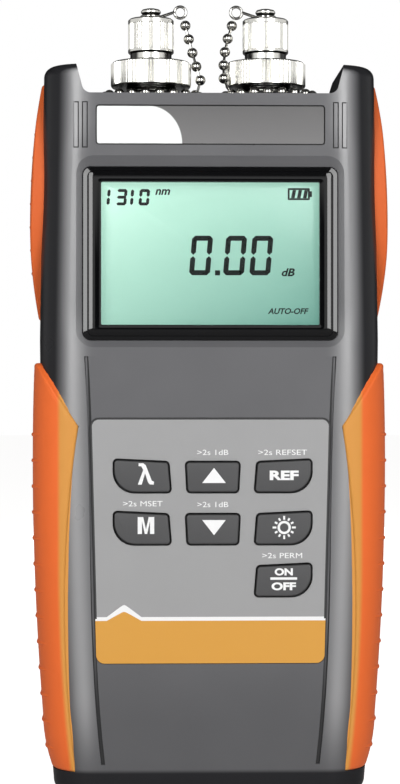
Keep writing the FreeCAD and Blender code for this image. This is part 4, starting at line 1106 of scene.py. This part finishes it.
class ATTENUATOR_OT_display(bpy.types.Operator):
    """Makes the window with its glossy border, the lit display and its figures"""
    bl_idname = "attenuator.display"
    bl_label = "Window and display"

    view_width: length_property("View width", "Width of the display that shows", 49.1)
    view_height: length_property("View height", "Height of the display that shows", 32.1)
    bevel: length_property("Bevel", "Width of the border's sloping edge", 1.0)

    def execute(self, context):
        width, height = LENS_HIGH.x - LENS_LOW.x, LENS_HIGH.z - LENS_LOW.z
        view = self.view_width / MM
        centre = (LENS_X, LENS_Z)
        front, back = LENS_LOW.y, LENS_HIGH.y
        outer = rectangle(width, height, 1.8, centre, 8)
        inner = rectangle(view, self.view_height / MM, 0.3, centre, 8)
        step = self.bevel / MM / ((width - view) / 2)
        rim = framed(outer, inner, [
            (0.0, back), (0.0, front + 0.62), (step * 0.12, front + 0.4), (step, front + 0.19),
            (step * 1.12, front + 0.3), (step * 1.35, front + 0.19), (step * 2.4, front), (0.99, front),
            (1.0, front + 0.01), (1.0, back)])
        pane = plate(inset(inner, -0.02), [(0.0, front + 1.4), (0.0, front + 0.06)])
        made = raw_piece("window_lens", [glossy_black(), clear_pane()], rim, (*pane, 1), smooth_angle=20)
        joined_to(made, "case", "window", "display_window")
        low, high = box_mm("display_glass")
        cell = rectangle(high.x - low.x, high.z - low.z, 0.5, centre)
        panel = plate(cell, rounded_levels(high.y, low.y, 0.2, 2))
        joined_to(raw_piece("display_cell", [display_face()], panel), "case", "display", "display_glass")
        ink = surface(
            "display_ink", context.scene.attenuator_display.ink, 0.35, grain=0.5, relief=0.001, mottling=0.02,
            specular=0.1)
        figures = raw_piece("display_figures", [ink], *display_figures(low.y, 0.02), smooth_angle=20)
        joined_to(figures, "case", "display")
        return {"FINISHED"}


# Name plate, keypad panel and keys

# Greys of the name plate, lighter towards its foot by a painted reflection, and its white field, which ends in a half
# ellipse
PLATE_TOP = (0.14, 0.138, 0.138)
PLATE_FOOT_SHEEN = (0.19, 0.187, 0.188)
FIELD_WHITE = (0.86, 0.88, 0.87)
FIELD_END_X = -13.8
FIELD_END_LENGTH = 7.4


def plate_print():
    """Glossy grey plate, lighter towards its foot by a painted reflection, with a white field that ends in a half
    ellipse; both are bare.
    """
    material = surface(
        "name_plate_print", PLATE_TOP, 0.22, grain=1.0, relief=0.001, mottling=0.03, roughness_spread=0.03)
    tree, shader, tone = base_tone(material)
    x, _, z = place_axes(tree)
    low, high = box_mm("name_plate")
    along = ((x - FIELD_END_X) / FIELD_END_LENGTH).at_least(0.0)
    rise = ((z - low.z) / (high.z - low.z)).at_least(0.0)
    inside = (along.squared() + rise.squared()).ramp(1.03, 0.98)
    # Painted reflection: the grey lightens towards the plate's foot
    grey = mixed_colour(tree, 1.0 - rise, tone, tinted(PLATE_FOOT_SHEEN))
    feed(tree, shader.inputs["Base Color"], mixed_colour(tree, inside, grey, tinted(FIELD_WHITE)))
    return material


PANEL_TAPER = 1.4
PANEL_CORNER = 1.9
# Width of the painted shade along the panel's edge
EDGE_SHADE_WIDTH = 0.3

# The printed line over the band, and the place where it rises like a roof
LINE_Z = 40.1
LINE_HALF = 0.43
ROOF_X = -19.4
ROOF_HALF = 3.55
ROOF_RISE = 2.35


def near_rim(x, z, low, high):
    """1 within the painted shade along the keypad panel's edge."""
    height = high.z - low.z
    half = (z - high.z) * (PANEL_TAPER / height) + ((high.x - low.x) / 2 - PANEL_CORNER)
    side = abs(x) - half
    end = abs(z - (low.z + high.z) / 2) - (height / 2 - PANEL_CORNER)
    corner = (side.at_least(0.0).squared() + end.at_least(0.0).squared()).apply("SQRT")
    return corner + side.at_least(end).at_most(0.0) > PANEL_CORNER - EDGE_SHADE_WIDTH


def panel_print():
    """Satin grey with a white line and a warm band below it; the line rises once like a roof, and painted shade runs
    along the panel's edge above it.
    """
    look = bpy.context.scene.attenuator_keypad
    material = surface(
        "keypad_print", look.panel, 0.36, grain=0.5, relief=0.004, mottling=0.025, roughness_spread=0.04)
    tree, shader, tone = base_tone(material)
    x, _, z = place_axes(tree)
    slope = (((x - ROOF_X) / ROOF_HALF).squared() + 0.01).apply("SQRT")
    roof = (1.1 - slope).at_least(0.0)
    over_line = z - (roof * ROOF_RISE + LINE_Z)
    in_line = abs(over_line) < roof * 0.33 + LINE_HALF
    banded = mixed_colour(tree, over_line < 0.0, tone, tinted(look.band))
    lined = mixed_colour(tree, in_line, banded, tinted(look.print_white))
    # Painted shade along the panel's edge, above the white line
    rim = near_rim(x, z, *box_mm("keypad_panel")) * (over_line > 0.0)
    feed(tree, shader.inputs["Base Color"], mixed_colour(tree, rim, lined, tinted(look.key, 0.6)))
    return material


KEY_HINTS = (
    (">2s 1dB", (0.5, 77.45), (7.0, 1.2)), (">2s REFSET", (16.2, 77.45), (11.0, 1.2)),
    (">2s MSET", (-15.2, 65.95), (8.9, 1.2)), (">2s 1dB", (0.5, 65.75), (7.0, 1.2)),
    (">2s PERM", (16.1, 54.25), (9.0, 1.2)))


class ATTENUATOR_OT_panel(bpy.types.Operator):
    """Prints the keypad panel and the name plate and adds the hints above the keys"""
    bl_idname = "attenuator.panel"
    bl_label = "Keypad panel and name plate"

    def execute(self, context):
        depth = context.scene.attenuator_keypad.print_depth / MM
        panel = panel_print()
        painted(panel, "keypad_panel")
        painted(plate_print(), "name_plate")
        hints = [letters(text, centre, size, PANEL_Y, depth) for text, centre, size in KEY_HINTS]
        joined_to(raw_piece("key_hints", [print_white()], *hints, smooth_angle=20), "case", "panel")
        levels = rim_levels([(0.0, PANEL_Y + 0.45), (0.0, PANEL_Y + 0.01)])
        rims = []
        for name, shape in KEY_SHAPES.items():
            cut = key_outline(shape, key_centre(name), KEY_GAP + 0.1, seen=False)
            opening = key_outline(shape, key_centre(name), KEY_GAP - 0.05)
            rims.append(framed(cut, opening, levels))
        joined_to(raw_piece("key_openings", [panel], *rims, smooth_angle=20), "case", "panel")
        return {"FINISHED"}


def print_white():
    white = bpy.context.scene.attenuator_keypad.print_white
    return surface("legend_white", white, 0.45, relief=0.002, mottling=0.02)


KEY_SHAPES = {
    "key_wavelength": "left", "key_memory": "left", "key_up": "middle", "key_down": "middle",
    "key_reference": "right", "key_light": "right", "key_power": "right"}
KEY_GAP = 0.3
KEY_HEIGHT = 8.0
MIDDLE_KEY_WIDTH = 12.2
SIDE_KEY_WIDTH = 13.1
CAP_BACK = 2.2
STEM_HALF = 1.4
ARROW_WIDTH = 5.3
ARROW_HEIGHT = 3.4


def key_centre(name):
    low, high = box_mm(name)
    return Vector(((low.x + high.x) / 2, (low.z + high.z) / 2))


def key_outline(shape, centre, grow=0.0, seen=True):
    """Line outside a key by grow: round the cap as seen, or round the opening as cut in the panel."""
    cx, cz = centre
    middle = shape == "middle"
    half, rise = (MIDDLE_KEY_WIDTH if middle else SIDE_KEY_WIDTH) / 2 + grow, KEY_HEIGHT / 2 + grow
    lift, trim, small = (0.15, 0.12, 0.85 + grow) if seen else (0.0, 0.0, 0.05)
    if middle:
        top = rise - (0.95 if seen else 0.0)
        corners = [(-half + 0.4, lift - rise), (half - 0.4, lift - rise), (half, top), (-half, top)]
        radii = [small] * 4
    else:
        top = rise - (0.4 if seen else 0.0)
        corners = [
            (trim - half, lift - rise), (half - trim, lift - rise), (half - 0.6 - trim, top - 0.6),
            (trim - half, top)]
        radii = [4.9 if seen else 4.4 + grow, small, small, small]
    points = rounded_polygon(corners, radii, 8)
    if shape == "right":
        points = [Vector((-p.x, p.y)) for p in reversed(points)]
    return [Vector((cx + p.x, cz + p.y)) for p in points]


def arrow(centre, up):
    cx, cz = centre
    half = ARROW_WIDTH / 2
    tip = ARROW_HEIGHT / 2 if up else -ARROW_HEIGHT / 2
    corners = [Vector((cx - half, cz - tip)), Vector((cx + half, cz - tip)), Vector((cx, cz + tip))]
    return corners if up else corners[::-1]


LETTER_M = (
    (-1.85, -1.9), (-0.9, -1.9), (-0.9, 0.95), (-0.27, -1.9), (0.27, -1.9), (0.9, 0.95), (0.9, -1.9), (1.85, -1.9),
    (1.85, 1.9), (0.62, 1.9), (0.0, -0.85), (-0.62, 1.9), (-1.85, 1.9))
LETTER_LAMBDA = (
    (-1.83, -2.4), (-0.95, -2.4), (-0.2, 0.15), (0.45, -1.85), (0.85, -2.35), (1.75, -2.4), (1.8, -1.75),
    (1.3, -1.5), (-0.05, 1.95), (-0.6, 2.4), (-1.65, 2.4), (-1.65, 1.75), (-1.05, 1.7), (-0.62, 0.9))
KEY_LETTERS = {"key_memory": (LETTER_M, 0.5), "key_wavelength": (LETTER_LAMBDA, 0.35)}
KEY_WORDS = {
    "key_power": (("ON", 0.1, 1.75, (4.1, 1.65)), ("OFF", 0.1, -1.5, (5.5, 1.8))),
    "key_reference": (("REF", 0.2, 0.0, (6.5, 2.15)),),
}


def sun_solids(centre, flat):
    """Small ring with twelve rays."""
    middle = Vector(centre)
    turns = [2 * math.pi * k / 32 for k in range(32)]
    outer, inner = (
        [middle + Vector((math.cos(t), math.sin(t))) * radius for t in turns] for radius in (1.5, 0.95))
    solids = [framed(outer, inner, rim_levels(flat))]
    for k in range(12):
        turn = 2 * math.pi * k / 12
        along = Vector((math.cos(turn), math.sin(turn)))
        across = Vector((-along.y, along.x)) * 0.22
        start, end = middle + along * 1.75, middle + along * (2.6 if k % 3 == 0 else 2.4)
        solids.append(plate([start - across, end - across, end + across, start + across], flat))
    return solids


class ATTENUATOR_OT_keys(bpy.types.Operator):
    """Makes the seven keys with rounded edges and their legends"""
    bl_idname = "attenuator.keys"
    bl_label = "Keys"

    def execute(self, context):
        look = context.scene.attenuator_keypad
        rubber = surface("key_rubber", look.key, 0.5, relief=0.008, mottling=0.04, specular=0.4)
        tree, shader, tone = base_tone(rubber)
        # Painted shade: a key's rounded edge and sides are darker than its crown
        unshaded_crown = facing_ahead(tree).eased(0.6, 0.95)
        feed(tree, shader.inputs["Base Color"], mixed_colour(tree, unshaded_crown, tinted(look.key, 0.15), tone))
        white = print_white()
        depth = look.print_depth / MM
        for name, shape in KEY_SHAPES.items():
            low, high = box_mm(name)
            centre = key_centre(name)
            back, front = FRONT_Y + CAP_BACK, low.y + depth
            outline = inset(key_outline(shape, centre), 0.05)
            cap = plate(outline, rounded_levels(back, front, look.key_edge / MM))
            flange = plate(inset(outline, -1.0), [(0.0, back + 1.0), (0.0, back)])
            stem = block(
                (centre.x - STEM_HALF, back + 1.0, centre.y - STEM_HALF),
                (centre.x + STEM_HALF, high.y, centre.y + STEM_HALF))
            joined_to(raw_piece(name + "_cap", [rubber], cap, flange, stem), name, "keys", name)
            legend = self.legend(name, centre, front, depth)
            joined_to(raw_piece(name + "_legend", [white], *legend, smooth_angle=20), name, "keys")
        return {"FINISHED"}

    def legend(self, name, centre, front, depth):
        x, z = centre
        flat = [(0.0, front + 0.06), (0.0, front - depth)]
        if name in ("key_up", "key_down"):
            return [plate(arrow((x + 0.25, z), name == "key_up"), flat)]
        if name == "key_light":
            return sun_solids((x + 0.2, z), flat)
        if name in KEY_LETTERS:
            corners, up = KEY_LETTERS[name]
            return [plate([Vector((x + 0.8 + across, z + up + rise)) for across, rise in corners], flat)]
        words = [
            letters(text, (x + across, z + up), size, front, depth, 0.045)
            for text, across, up, size in KEY_WORDS[name]]
        if name == "key_power":
            words.insert(1, plate(rectangle(6.0, 0.55, 0.05, (x + 0.1, z + 0.25)), flat))
        return words


# Fibre ports

# Radii and heights of a port's turned parts
NECK_RADIUS = 5.7
NECK_BORE = 3.5
HEAD_RADIUS = 4.8
HEAD_BORE = 1.69
MOUTH_THREAD = 4.0
MOUTH_BORE = 2.6
FERRULE_BORE = 1.28
NUT_BORE = 5.76
NUT_THROAT = 4.86
NUT_DROP = 0.7
CAP_BORE = 4.06
CAP_HEIGHT = 8.0


def nickel(name, shade_from):
    """Plated metal with painted shade underneath and where it turns further from the front than its second argument
    says.
    """
    colour = bpy.context.scene.attenuator_metal.nickel
    material = surface(
        name, colour, 0.24, grain=0.6, relief=0.003, mottling=0.03, stretch=(1.0, 1.0, 0.15), metallic=1.0)
    tree, shader, tone = base_tone(material)
    # Painted shade underneath and on surfaces that turn away from the front
    ahead = facing_ahead(tree).eased(shade_from, shade_from + 0.15)
    lit = facing(tree)[2].eased(-0.5, -0.15) * ahead
    feed(tree, shader.inputs["Base Color"], mixed_colour(tree, lit, tinted(colour, 0.06), tone))
    return material


def threaded(radius, low, high, depth=0.28):
    """Profile corners of a thread between two heights."""
    pitch = round(bpy.context.scene.attenuator_metal.thread_pitch / MM, 4)
    corners = []
    count = int((high - low) / pitch)
    for i in range(count):
        z = low + i * pitch
        corners += [(radius - depth, z + 0.08 * pitch), (radius, z + 0.45 * pitch), (radius, z + 0.6 * pitch)]
    return corners + [(radius - depth, low + count * pitch)]


def knurled(made, side, tree, metal, count, radius, width, length, middle):
    """Adds upright ridges of a half width to a turned piece, round its port's axis."""
    return grown(made, tree, {
        "Count": count, "Collar radius": radius * MM, "Ridge width": width * MM, "Ridge length": length * MM,
        "Centre": Vector((PORT_X[side], MIDDLE_Y, middle)) * MM, "Material": metal})


class ATTENUATOR_OT_ports(bpy.types.Operator):
    """Makes the necks, adapter heads, knurled nuts and dust caps of the two fibre ports"""
    bl_idname = "attenuator.ports"
    bl_label = "Fibre ports"

    def execute(self, context):
        metal = nickel("plated_nickel", -1.0)
        thread_metal = nickel("thread_nickel", 0.7)
        ridges = ridge_tree()
        for side, _ in SIDES:
            self.neck(side, thread_metal)
            self.head(side, thread_metal)
            self.nut(side, metal, ridges)
            self.cap(side, metal, ridges)
        return {"FINISHED"}

    def turned(self, name, side, profile, metal, smooth_angle=35):
        solid = lathe(profile, (PORT_X[side], MIDDLE_Y))
        return raw_piece(name + side, [metal], solid, smooth_angle=smooth_angle)

    def neck(self, side, metal):
        low, high = box_mm("port_base_" + side)
        flange, foot, start = (high.x - low.x) / 2, low.z + 1.9, TOP_Z + 0.4
        made = self.turned("port_neck_", side, [
            (NECK_BORE, low.z), (flange, low.z), (flange, foot), (NECK_RADIUS, foot), (NECK_RADIUS, start),
            *threaded(NECK_RADIUS, start, high.z - 0.3), (NECK_RADIUS - 0.4, high.z), (NECK_BORE, high.z)],
            metal, 40)
        joined_to(made, "case", "plated_metal", "port_base_" + side)

    def head(self, side, metal):
        low, high = box_mm("adapter_head_" + side)
        shoulder, floor = low.z + 3.7, high.z - 4.4
        made = self.turned("port_head_", side, [
            (HEAD_BORE, low.z), (NECK_RADIUS, low.z), (NECK_RADIUS, low.z + 0.6), (HEAD_RADIUS, low.z + 0.6),
            (HEAD_RADIUS, shoulder - 0.2), (HEAD_RADIUS - 0.2, shoulder), (3.75, shoulder),
            *threaded(MOUTH_THREAD, shoulder + 0.3, high.z - 0.4), (3.6, high.z), (MOUTH_BORE + 0.15, high.z),
            (MOUTH_BORE, high.z - 0.15), (MOUTH_BORE, floor), (FERRULE_BORE, floor), (FERRULE_BORE, floor - 0.5),
            (HEAD_BORE, floor - 0.5)], metal, 40)
        joined_to(made, "adapter_head_" + side, "plated_metal", "adapter_head_" + side)

    def nut(self, side, metal, ridges):
        low, high = box_mm("knurled_nut_" + side)
        outer = (high.x - low.x) / 2
        foot = low.z - NUT_DROP
        made = self.turned("nut_body_", side, [
            (NUT_BORE, foot), (outer - 0.35, foot), (outer - 0.15, foot + 0.2), (outer - 0.16, foot + 0.3),
            (outer - 0.16, high.z - 0.4), (outer - 0.15, high.z - 0.35), (outer - 0.5, high.z),
            (NUT_THROAT, high.z), (NUT_THROAT, high.z - 1.0), (NUT_BORE, high.z - 1.0)], metal)
        count = bpy.context.scene.attenuator_metal.nut_ridges
        knurled(made, side, ridges, metal, count, outer - 0.26, 0.26, high.z - foot - 0.8, (foot + high.z) / 2)
        joined_to(made, "knurled_nut_" + side, "plated_metal", "knurled_nut_" + side)

    def cap(self, side, metal, ridges):
        low, high = box_mm("dust_cap_" + side)
        outer = (high.x - low.x) / 2
        top = low.z + CAP_HEIGHT
        inside = top - 1.2
        post = [
            (1.5, 0.0), (1.3, 0.2), (1.3, 1.05), (2.1, 1.25), (2.3, 1.5), (2.3, 1.85), (2.0, 2.25), (1.3, 2.45)]
        made = self.turned("cap_body_", side, [
            (CAP_BORE, low.z), (outer - 0.25, low.z), (outer, low.z + 0.25), (outer, low.z + 0.8),
            (outer - 0.1, low.z + 0.9), (outer - 0.1, top - 1.3), (outer, top - 1.2), (outer, top - 0.35),
            (outer - 0.35, top), *((radius, top + rise) for radius, rise in post), (0.001, high.z),
            (0.001, inside), (CAP_BORE, inside)], metal)
        count = bpy.context.scene.attenuator_metal.cap_ridges
        knurled(made, side, ridges, metal, count, outer - 0.2, 0.2, 6.9, low.z + 3.95)
        joined_to(made, "dust_cap_" + side, "plated_metal", "dust_cap_" + side)


# Chains

BEAD_RADIUS = 1.2
WIRE_RADIUS = 0.3
BEAD_PITCH = 3.2
HANGING_BEADS = 5
LOWEST_RISE = 3.5
EYE_RISE = 9.7
EYE_REACH = 6.8
EYE_RADIUS = 1.35
RING_RADIUS = 2.15
RING_DROP = 1.1
HANGING = {
    "left": {"top": 8.0, "bow": 9.5, "low": 11.4, "low_y": -2.6, "half": (10.9, 7.5), "shift": 0.3},
    "right": {"top": -7.8, "bow": -10.2, "low": -9.9, "low_y": -5.6, "half": (10.4, 9.2), "shift": 0.9},
}


def chain_points(name):
    """Centres of the hanging beads and of the loop's beads, and the height of the ring's eye."""
    route = HANGING[name]
    x = PORT_X[name]
    eye_z = box_mm("dust_cap_" + name)[0].z + EYE_RISE
    loop_z = TOP_Z + BEAD_RADIUS + 0.1
    top = Vector((x + route["top"], MIDDLE_Y, eye_z - EYE_RADIUS - BEAD_RADIUS - 0.5))
    low = Vector((x + route["low"], MIDDLE_Y + route["low_y"], loop_z + LOWEST_RISE))
    bow = Vector((x + route["bow"], MIDDLE_Y + route["low_y"] / 2, (top.z + low.z) / 2))
    shares = [i / (HANGING_BEADS - 1) for i in range(HANGING_BEADS)]
    hanging = [top * (1 - t) ** 2 + bow * (2 * t * (1 - t)) + low * t**2 for t in shares]
    half_x, half_y = route["half"]
    around = math.pi * (3 * (half_x + half_y) - math.sqrt((3 * half_x + half_y) * (half_x + 3 * half_y)))
    count = int(around / BEAD_PITCH)
    middle = Vector((x + route["shift"], MIDDLE_Y, loop_z))
    turns = [2 * math.pi * i / count for i in range(count)]
    loop = [middle + Vector((half_x * math.cos(t), half_y * math.sin(t), 0.0)) for t in turns]
    return hanging, loop, eye_z


def hoop(centre, radius, wire, axis):
    """Ring of round wire about an axis."""
    turns = [2 * math.pi * k / 48 for k in range(48)]
    second = Vector((0.0, 1.0, 0.0)) if axis == "Z" else Vector((0.0, 0.0, 1.0))
    first = Vector((1.0, 0.0, 0.0))
    points = [centre + (first * math.cos(t) + second * math.sin(t)) * radius for t in turns]
    return tube(points, wire, 12, closed=True)


class ATTENUATOR_OT_chains(bpy.types.Operator):
    """Makes the wire rings on the dust caps and the bead chains that tie them to their ports"""
    bl_idname = "attenuator.chains"
    bl_label = "Rings and bead chains"

    def execute(self, context):
        look = context.scene.attenuator_metal
        steel = surface("chain_steel", look.chain, 0.09, grain=0.5, relief=0.002, metallic=1.0)
        beads = bead_tree()
        values = {"Bead radius": BEAD_RADIUS * MM, "Wire radius": WIRE_RADIUS * MM, "Material": steel}
        for name, side in SIDES:
            hanging, loop, eye_z = chain_points(name)
            self.ring(name, side, eye_z, steel)
            made = point_object("bead_loop_" + name, loop + loop[:1], False)
            grown(made, beads, dict(values, Beads=len(loop) + 1))
            joined_to(made, "case", "chain_metal", "chain_loop_" + name)
            self.hanging(name, hanging, loop, beads, values)
        return {"FINISHED"}

    def ring(self, name, side, eye_z, steel):
        """Hoop in the cap's groove, an upright eye beside it and two arms between them."""
        axis = Vector((PORT_X[name], MIDDLE_Y, 0.0))
        ring_z = eye_z - RING_DROP
        eye = axis + Vector((-side * EYE_REACH, 0.0, eye_z))
        arms = []
        for y in (-0.5, 0.5):
            start = axis + Vector((-side * (RING_RADIUS - 0.05), y, ring_z))
            end = Vector((eye.x + side * (EYE_RADIUS - 0.05), MIDDLE_Y + y * 0.4, eye_z + 0.1))
            arms.append(tube([start, start.lerp(end, 0.5), end], WIRE_RADIUS, 10))
        hoops = (
            hoop(axis + Vector((0.0, 0.0, ring_z)), RING_RADIUS, 0.36, "Z"), hoop(eye, EYE_RADIUS, 0.33, "Y"))
        made = raw_piece("wire_ring_" + name, [steel], *hoops, *arms)
        joined_to(made, "cap_ring_" + name, "chain_metal", "cap_ring_" + name)

    def hanging(self, name, points, loop, beads, values):
        """Upper and lower runs of hanging beads, each joined by a wire to the bead below it; they take the place of
        the imported chains.
        """
        nearest = min(loop, key=lambda p: (p - points[-1]).length)
        runs = {
            "upper": (points[:3], points[2], points[3], "adapter_head_" + name, "cap_ring_" + name),
            "lower": (points[3:], points[4], nearest, "case", "adapter_head_" + name),
        }
        for part, (line, last, below, low_body, high_body) in runs.items():
            made = point_object(f"beads_{part}_{name}", line, False)
            grown(made, beads, dict(values, Beads=len(line)))
            link = tube([last.lerp(below, share) for share in (0.0, 0.35, 0.65, 1.0)], WIRE_RADIUS, 8)
            extra = raw_piece("link", [values["Material"]], link)
            shape = bmesh.new()
            shape.from_mesh(made.data)
            shape.from_mesh(extra.data)
            shape.to_mesh(made.data)
            shape.free()
            bpy.data.objects.remove(extra)
            reach = (below - last).normalized() * BEAD_RADIUS
            start, end = (below - reach) * MM, (last + reach) * MM
            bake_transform(made)
            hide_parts(f"chain_{part}_{name}")


# Pieces inside the case

# Colour, roughness, metallic share and nodes of each finish
INSIDE_FINISHES = {
    "board_lacquer": ((0.02, 0.14, 0.05), 0.3, 0.0, ["main_board"]),
    "switch_plastic": ((0.02, 0.02, 0.02), 0.45, 0.0, ["key_switches", "power_socket"]),
    "frame_plastic": ((0.7, 0.7, 0.68), 0.5, 0.0, ["display_frame", "fibre_spool"]),
    "module_aluminium": ((0.55, 0.56, 0.58), 0.35, 1.0, ["attenuator_module"]),
    "contact_steel": ((0.6, 0.6, 0.58), 0.3, 1.0, ["cell_contacts"]),
    "fibre_jacket": ((0.75, 0.6, 0.08), 0.4, 0.0, ["fibre_coil", "pigtail_left", "pigtail_right"]),
    "ferrule_ceramic": ((0.85, 0.85, 0.82), 0.15, 0.0, [
        kind + side for kind in ("ferrule_", "alignment_sleeve_") for side, _ in SIDES]),
    "holder_nickel": ((0.7, 0.69, 0.64), 0.3, 1.0, ["ferrule_holder_" + side for side, _ in SIDES]),
}


class ATTENUATOR_OT_inside(bpy.types.Operator):
    """Gives the pieces inside the case their finishes"""
    bl_idname = "attenuator.inside"
    bl_label = "Inside pieces"

    def execute(self, context):
        for name, (colour, roughness, metallic, names) in INSIDE_FINISHES.items():
            finish = surface(name, colour, roughness, grain=0.5, relief=0.004, metallic=metallic)
            painted(finish, *names)
        painted(self.cell_wrap(), "cell_1", "cell_2", "cell_3")
        return {"FINISHED"}

    def cell_wrap(self):
        """Dark wrap with one lighter band."""
        material = surface("cell_wrap", (0.03, 0.03, 0.035), 0.3, grain=0.6, relief=0.003, metallic=0.3)
        tree, shader, tone = base_tone(material)
        in_band = abs(place_axes(tree)[2] - 55.0) < 6.0
        feed(tree, shader.inputs["Base Color"], mixed_colour(tree, in_band, tone, (0.45, 0.4, 0.3, 1.0)))
        return material


# Studio

LAMP_DISTANCE = 0.9
LAMP_TURN = math.radians(27)
FLOOR_HALF = 4.0


def seen_directly(tree):
    """1 for rays straight from the camera or through glass, and 1 for rays from a mirror."""
    rays = node(tree, "ShaderNodeLightPath").outputs
    camera, glass, mirror = (Field(tree, rays[f"Is {kind} Ray"]) for kind in ("Camera", "Transmission", "Glossy"))
    return camera.at_least(glass), mirror


def reflected_room(tree, strength):
    """Bright room with dark cards behind the object and overhead, and a dark place low in front."""
    across, along, up = split(tree, node(tree, "ShaderNodeTexCoord").outputs["Generated"])
    behind = along.ramp(0.5, 0.72, 1.0, 0.03)
    overhead = abs(up).ramp(0.18, 0.34, 1.0, 0.06)
    low_front = up.ramp(0.095, 0.075) * (across.within(-0.12, 0.12) * (along < 0.0))
    return behind * overhead * (1.0 - low_front) * strength


def studio_world():
    look = bpy.context.scene.attenuator_stage
    world = bpy.data.worlds.new("studio")
    bpy.context.scene.world = world
    world.use_nodes = True
    tree = world.node_tree
    tree.nodes.clear()
    seen, glossy = seen_directly(tree)
    strength = seen.at_least(glossy * reflected_room(tree, look.reflected) + (1.0 - glossy) * look.ambient)
    room = node(tree, "ShaderNodeBackground", {"Color": tinted((1.0, 1.0, 1.0)), "Strength": strength})
    node(tree, "ShaderNodeOutputWorld", {"Surface": room.outputs[0]})


def floor_material():
    """Pale floor that looks white to the camera, keeps the shadow and stays dim in the metal."""
    material = bpy.data.materials.new("pale_floor")
    material.use_nodes = True
    tree = material.node_tree
    tree.nodes.clear()
    seen, glossy = seen_directly(tree)
    pale = mixed_colour(tree, glossy, tinted((0.8, 0.8, 0.8)), tinted((0.1, 0.1, 0.1)))
    lit = node(tree, "ShaderNodeBsdfDiffuse", {"Color": pale}).outputs[0]
    glow = node(tree, "ShaderNodeEmission", {
        "Color": tinted((1.0, 0.995, 0.99)), "Strength": (seen * 0.85).at_least(glossy * 0.2)}).outputs[0]
    both = node(tree, "ShaderNodeAddShader", {0: lit, 1: glow}).outputs[0]
    node(tree, "ShaderNodeOutputMaterial", {"Surface": both})
    return material


def soft_lamp(name, place, height, size, power):
    """Rectangular lamp at a place, turned to the case's middle at a height."""
    lamp = bpy.data.lights.new(name, "AREA")
    lamp.shape = "RECTANGLE"
    lamp.size, lamp.size_y = size
    lamp.energy = power
    made = bpy.data.objects.new(name, lamp)
    made.location = place
    made.rotation_euler = (Vector((0.0, 0.0, height)) - Vector(place)).to_track_quat("-Z", "Y").to_euler()
    made.visible_camera = False
    bpy.context.scene.collection.objects.link(made)
    return made


class ATTENUATOR_OT_stage(bpy.types.Operator):
    """Sets up the pale floor, the soft lamps and the camera"""
    bl_idname = "attenuator.stage"
    bl_label = "Floor, lamps and camera"

    def execute(self, context):
        context.scene.view_settings.view_transform = "Standard"
        studio_world()
        self.floor(context.scene)
        self.lamps(context.scene.attenuator_stage)
        self.camera(context.scene, context.scene.attenuator_stage)
        return {"FINISHED"}

    def floor(self, scene):
        corners = [(x * FLOOR_HALF, y * FLOOR_HALF, 0) for x, y in ((-1, -1), (1, -1), (1, 1), (-1, 1))]
        mesh = bpy.data.meshes.new("floor")
        mesh.from_pydata(corners, [], [(0, 1, 2, 3)])
        mesh.materials.append(floor_material())
        floor = bpy.data.objects.new("floor", mesh)
        scene.collection.objects.link(floor)

    def lamps(self, look):
        """One lamp to each side in front, and a weaker one behind that no metal mirrors."""
        middle = look.camera_z
        for side in (-1, 1):
            across, back = side * LAMP_DISTANCE * math.sin(LAMP_TURN), -LAMP_DISTANCE * math.cos(LAMP_TURN)
            soft_lamp("front_lamp", (across, back, middle + 0.3), middle, (0.32, 0.62), look.lamp_power)
        rear_power = look.lamp_power * look.rear_share
        rear = soft_lamp("rear_lamp", (0.2, LAMP_DISTANCE, middle + 0.1), middle, (0.5, 0.62), rear_power)
        rear.visible_glossy = False

    def camera(self, scene, look):
        data = bpy.data.cameras.new("camera")
        data.sensor_fit = "VERTICAL"
        data.sensor_height = 36.0
        data.lens = look.lens
        camera = bpy.data.objects.new("camera", data)
        camera.location = (look.camera_x, MIDDLE_Y * MM - look.distance, look.camera_z)
        turn = math.atan2(look.aim_x - look.camera_x, look.distance)
        camera.rotation_euler = (math.radians(90), 0.0, -turn)
        scene.collection.objects.link(camera)
        scene.camera = camera


class ATTENUATOR_PT_panel(bpy.types.Panel):
    """Lists the looks and the steps"""
    bl_idname = "ATTENUATOR_PT_panel"
    bl_label = "Variable optical attenuator"
    bl_space_type = "VIEW_3D"
    bl_region_type = "UI"
    bl_category = "Attenuator"

    def draw(self, context):
        for name, look in LOOKS.items():
            column = self.layout.column(heading=look.__name__)
            for key in look.__annotations__:
                column.prop(getattr(context.scene, name), key)
        for step in STEPS:
            self.layout.operator(step.bl_idname)


STEPS = (
    ATTENUATOR_OT_stage,
    ATTENUATOR_OT_case,
    ATTENUATOR_OT_screws,
    ATTENUATOR_OT_grips,
    ATTENUATOR_OT_display,
    ATTENUATOR_OT_panel,
    ATTENUATOR_OT_keys,
    ATTENUATOR_OT_ports,
    ATTENUATOR_OT_chains,
    ATTENUATOR_OT_inside,
)


def register():
    for item in (*LOOKS.values(), *STEPS, ATTENUATOR_PT_panel):
        bpy.utils.register_class(item)
    for name, look in LOOKS.items():
        setattr(bpy.types.Scene, name, PointerProperty(type=look))


def unregister():
    for name in LOOKS:
        delattr(bpy.types.Scene, name)
    for item in reversed((*LOOKS.values(), *STEPS, ATTENUATOR_PT_panel)):
        bpy.utils.unregister_class(item)


def main():
    register()
    for step in STEPS:
        group, name = step.bl_idname.split(".")
        getattr(getattr(bpy.ops, group), name)()


if __name__ == "__main__":
    main()
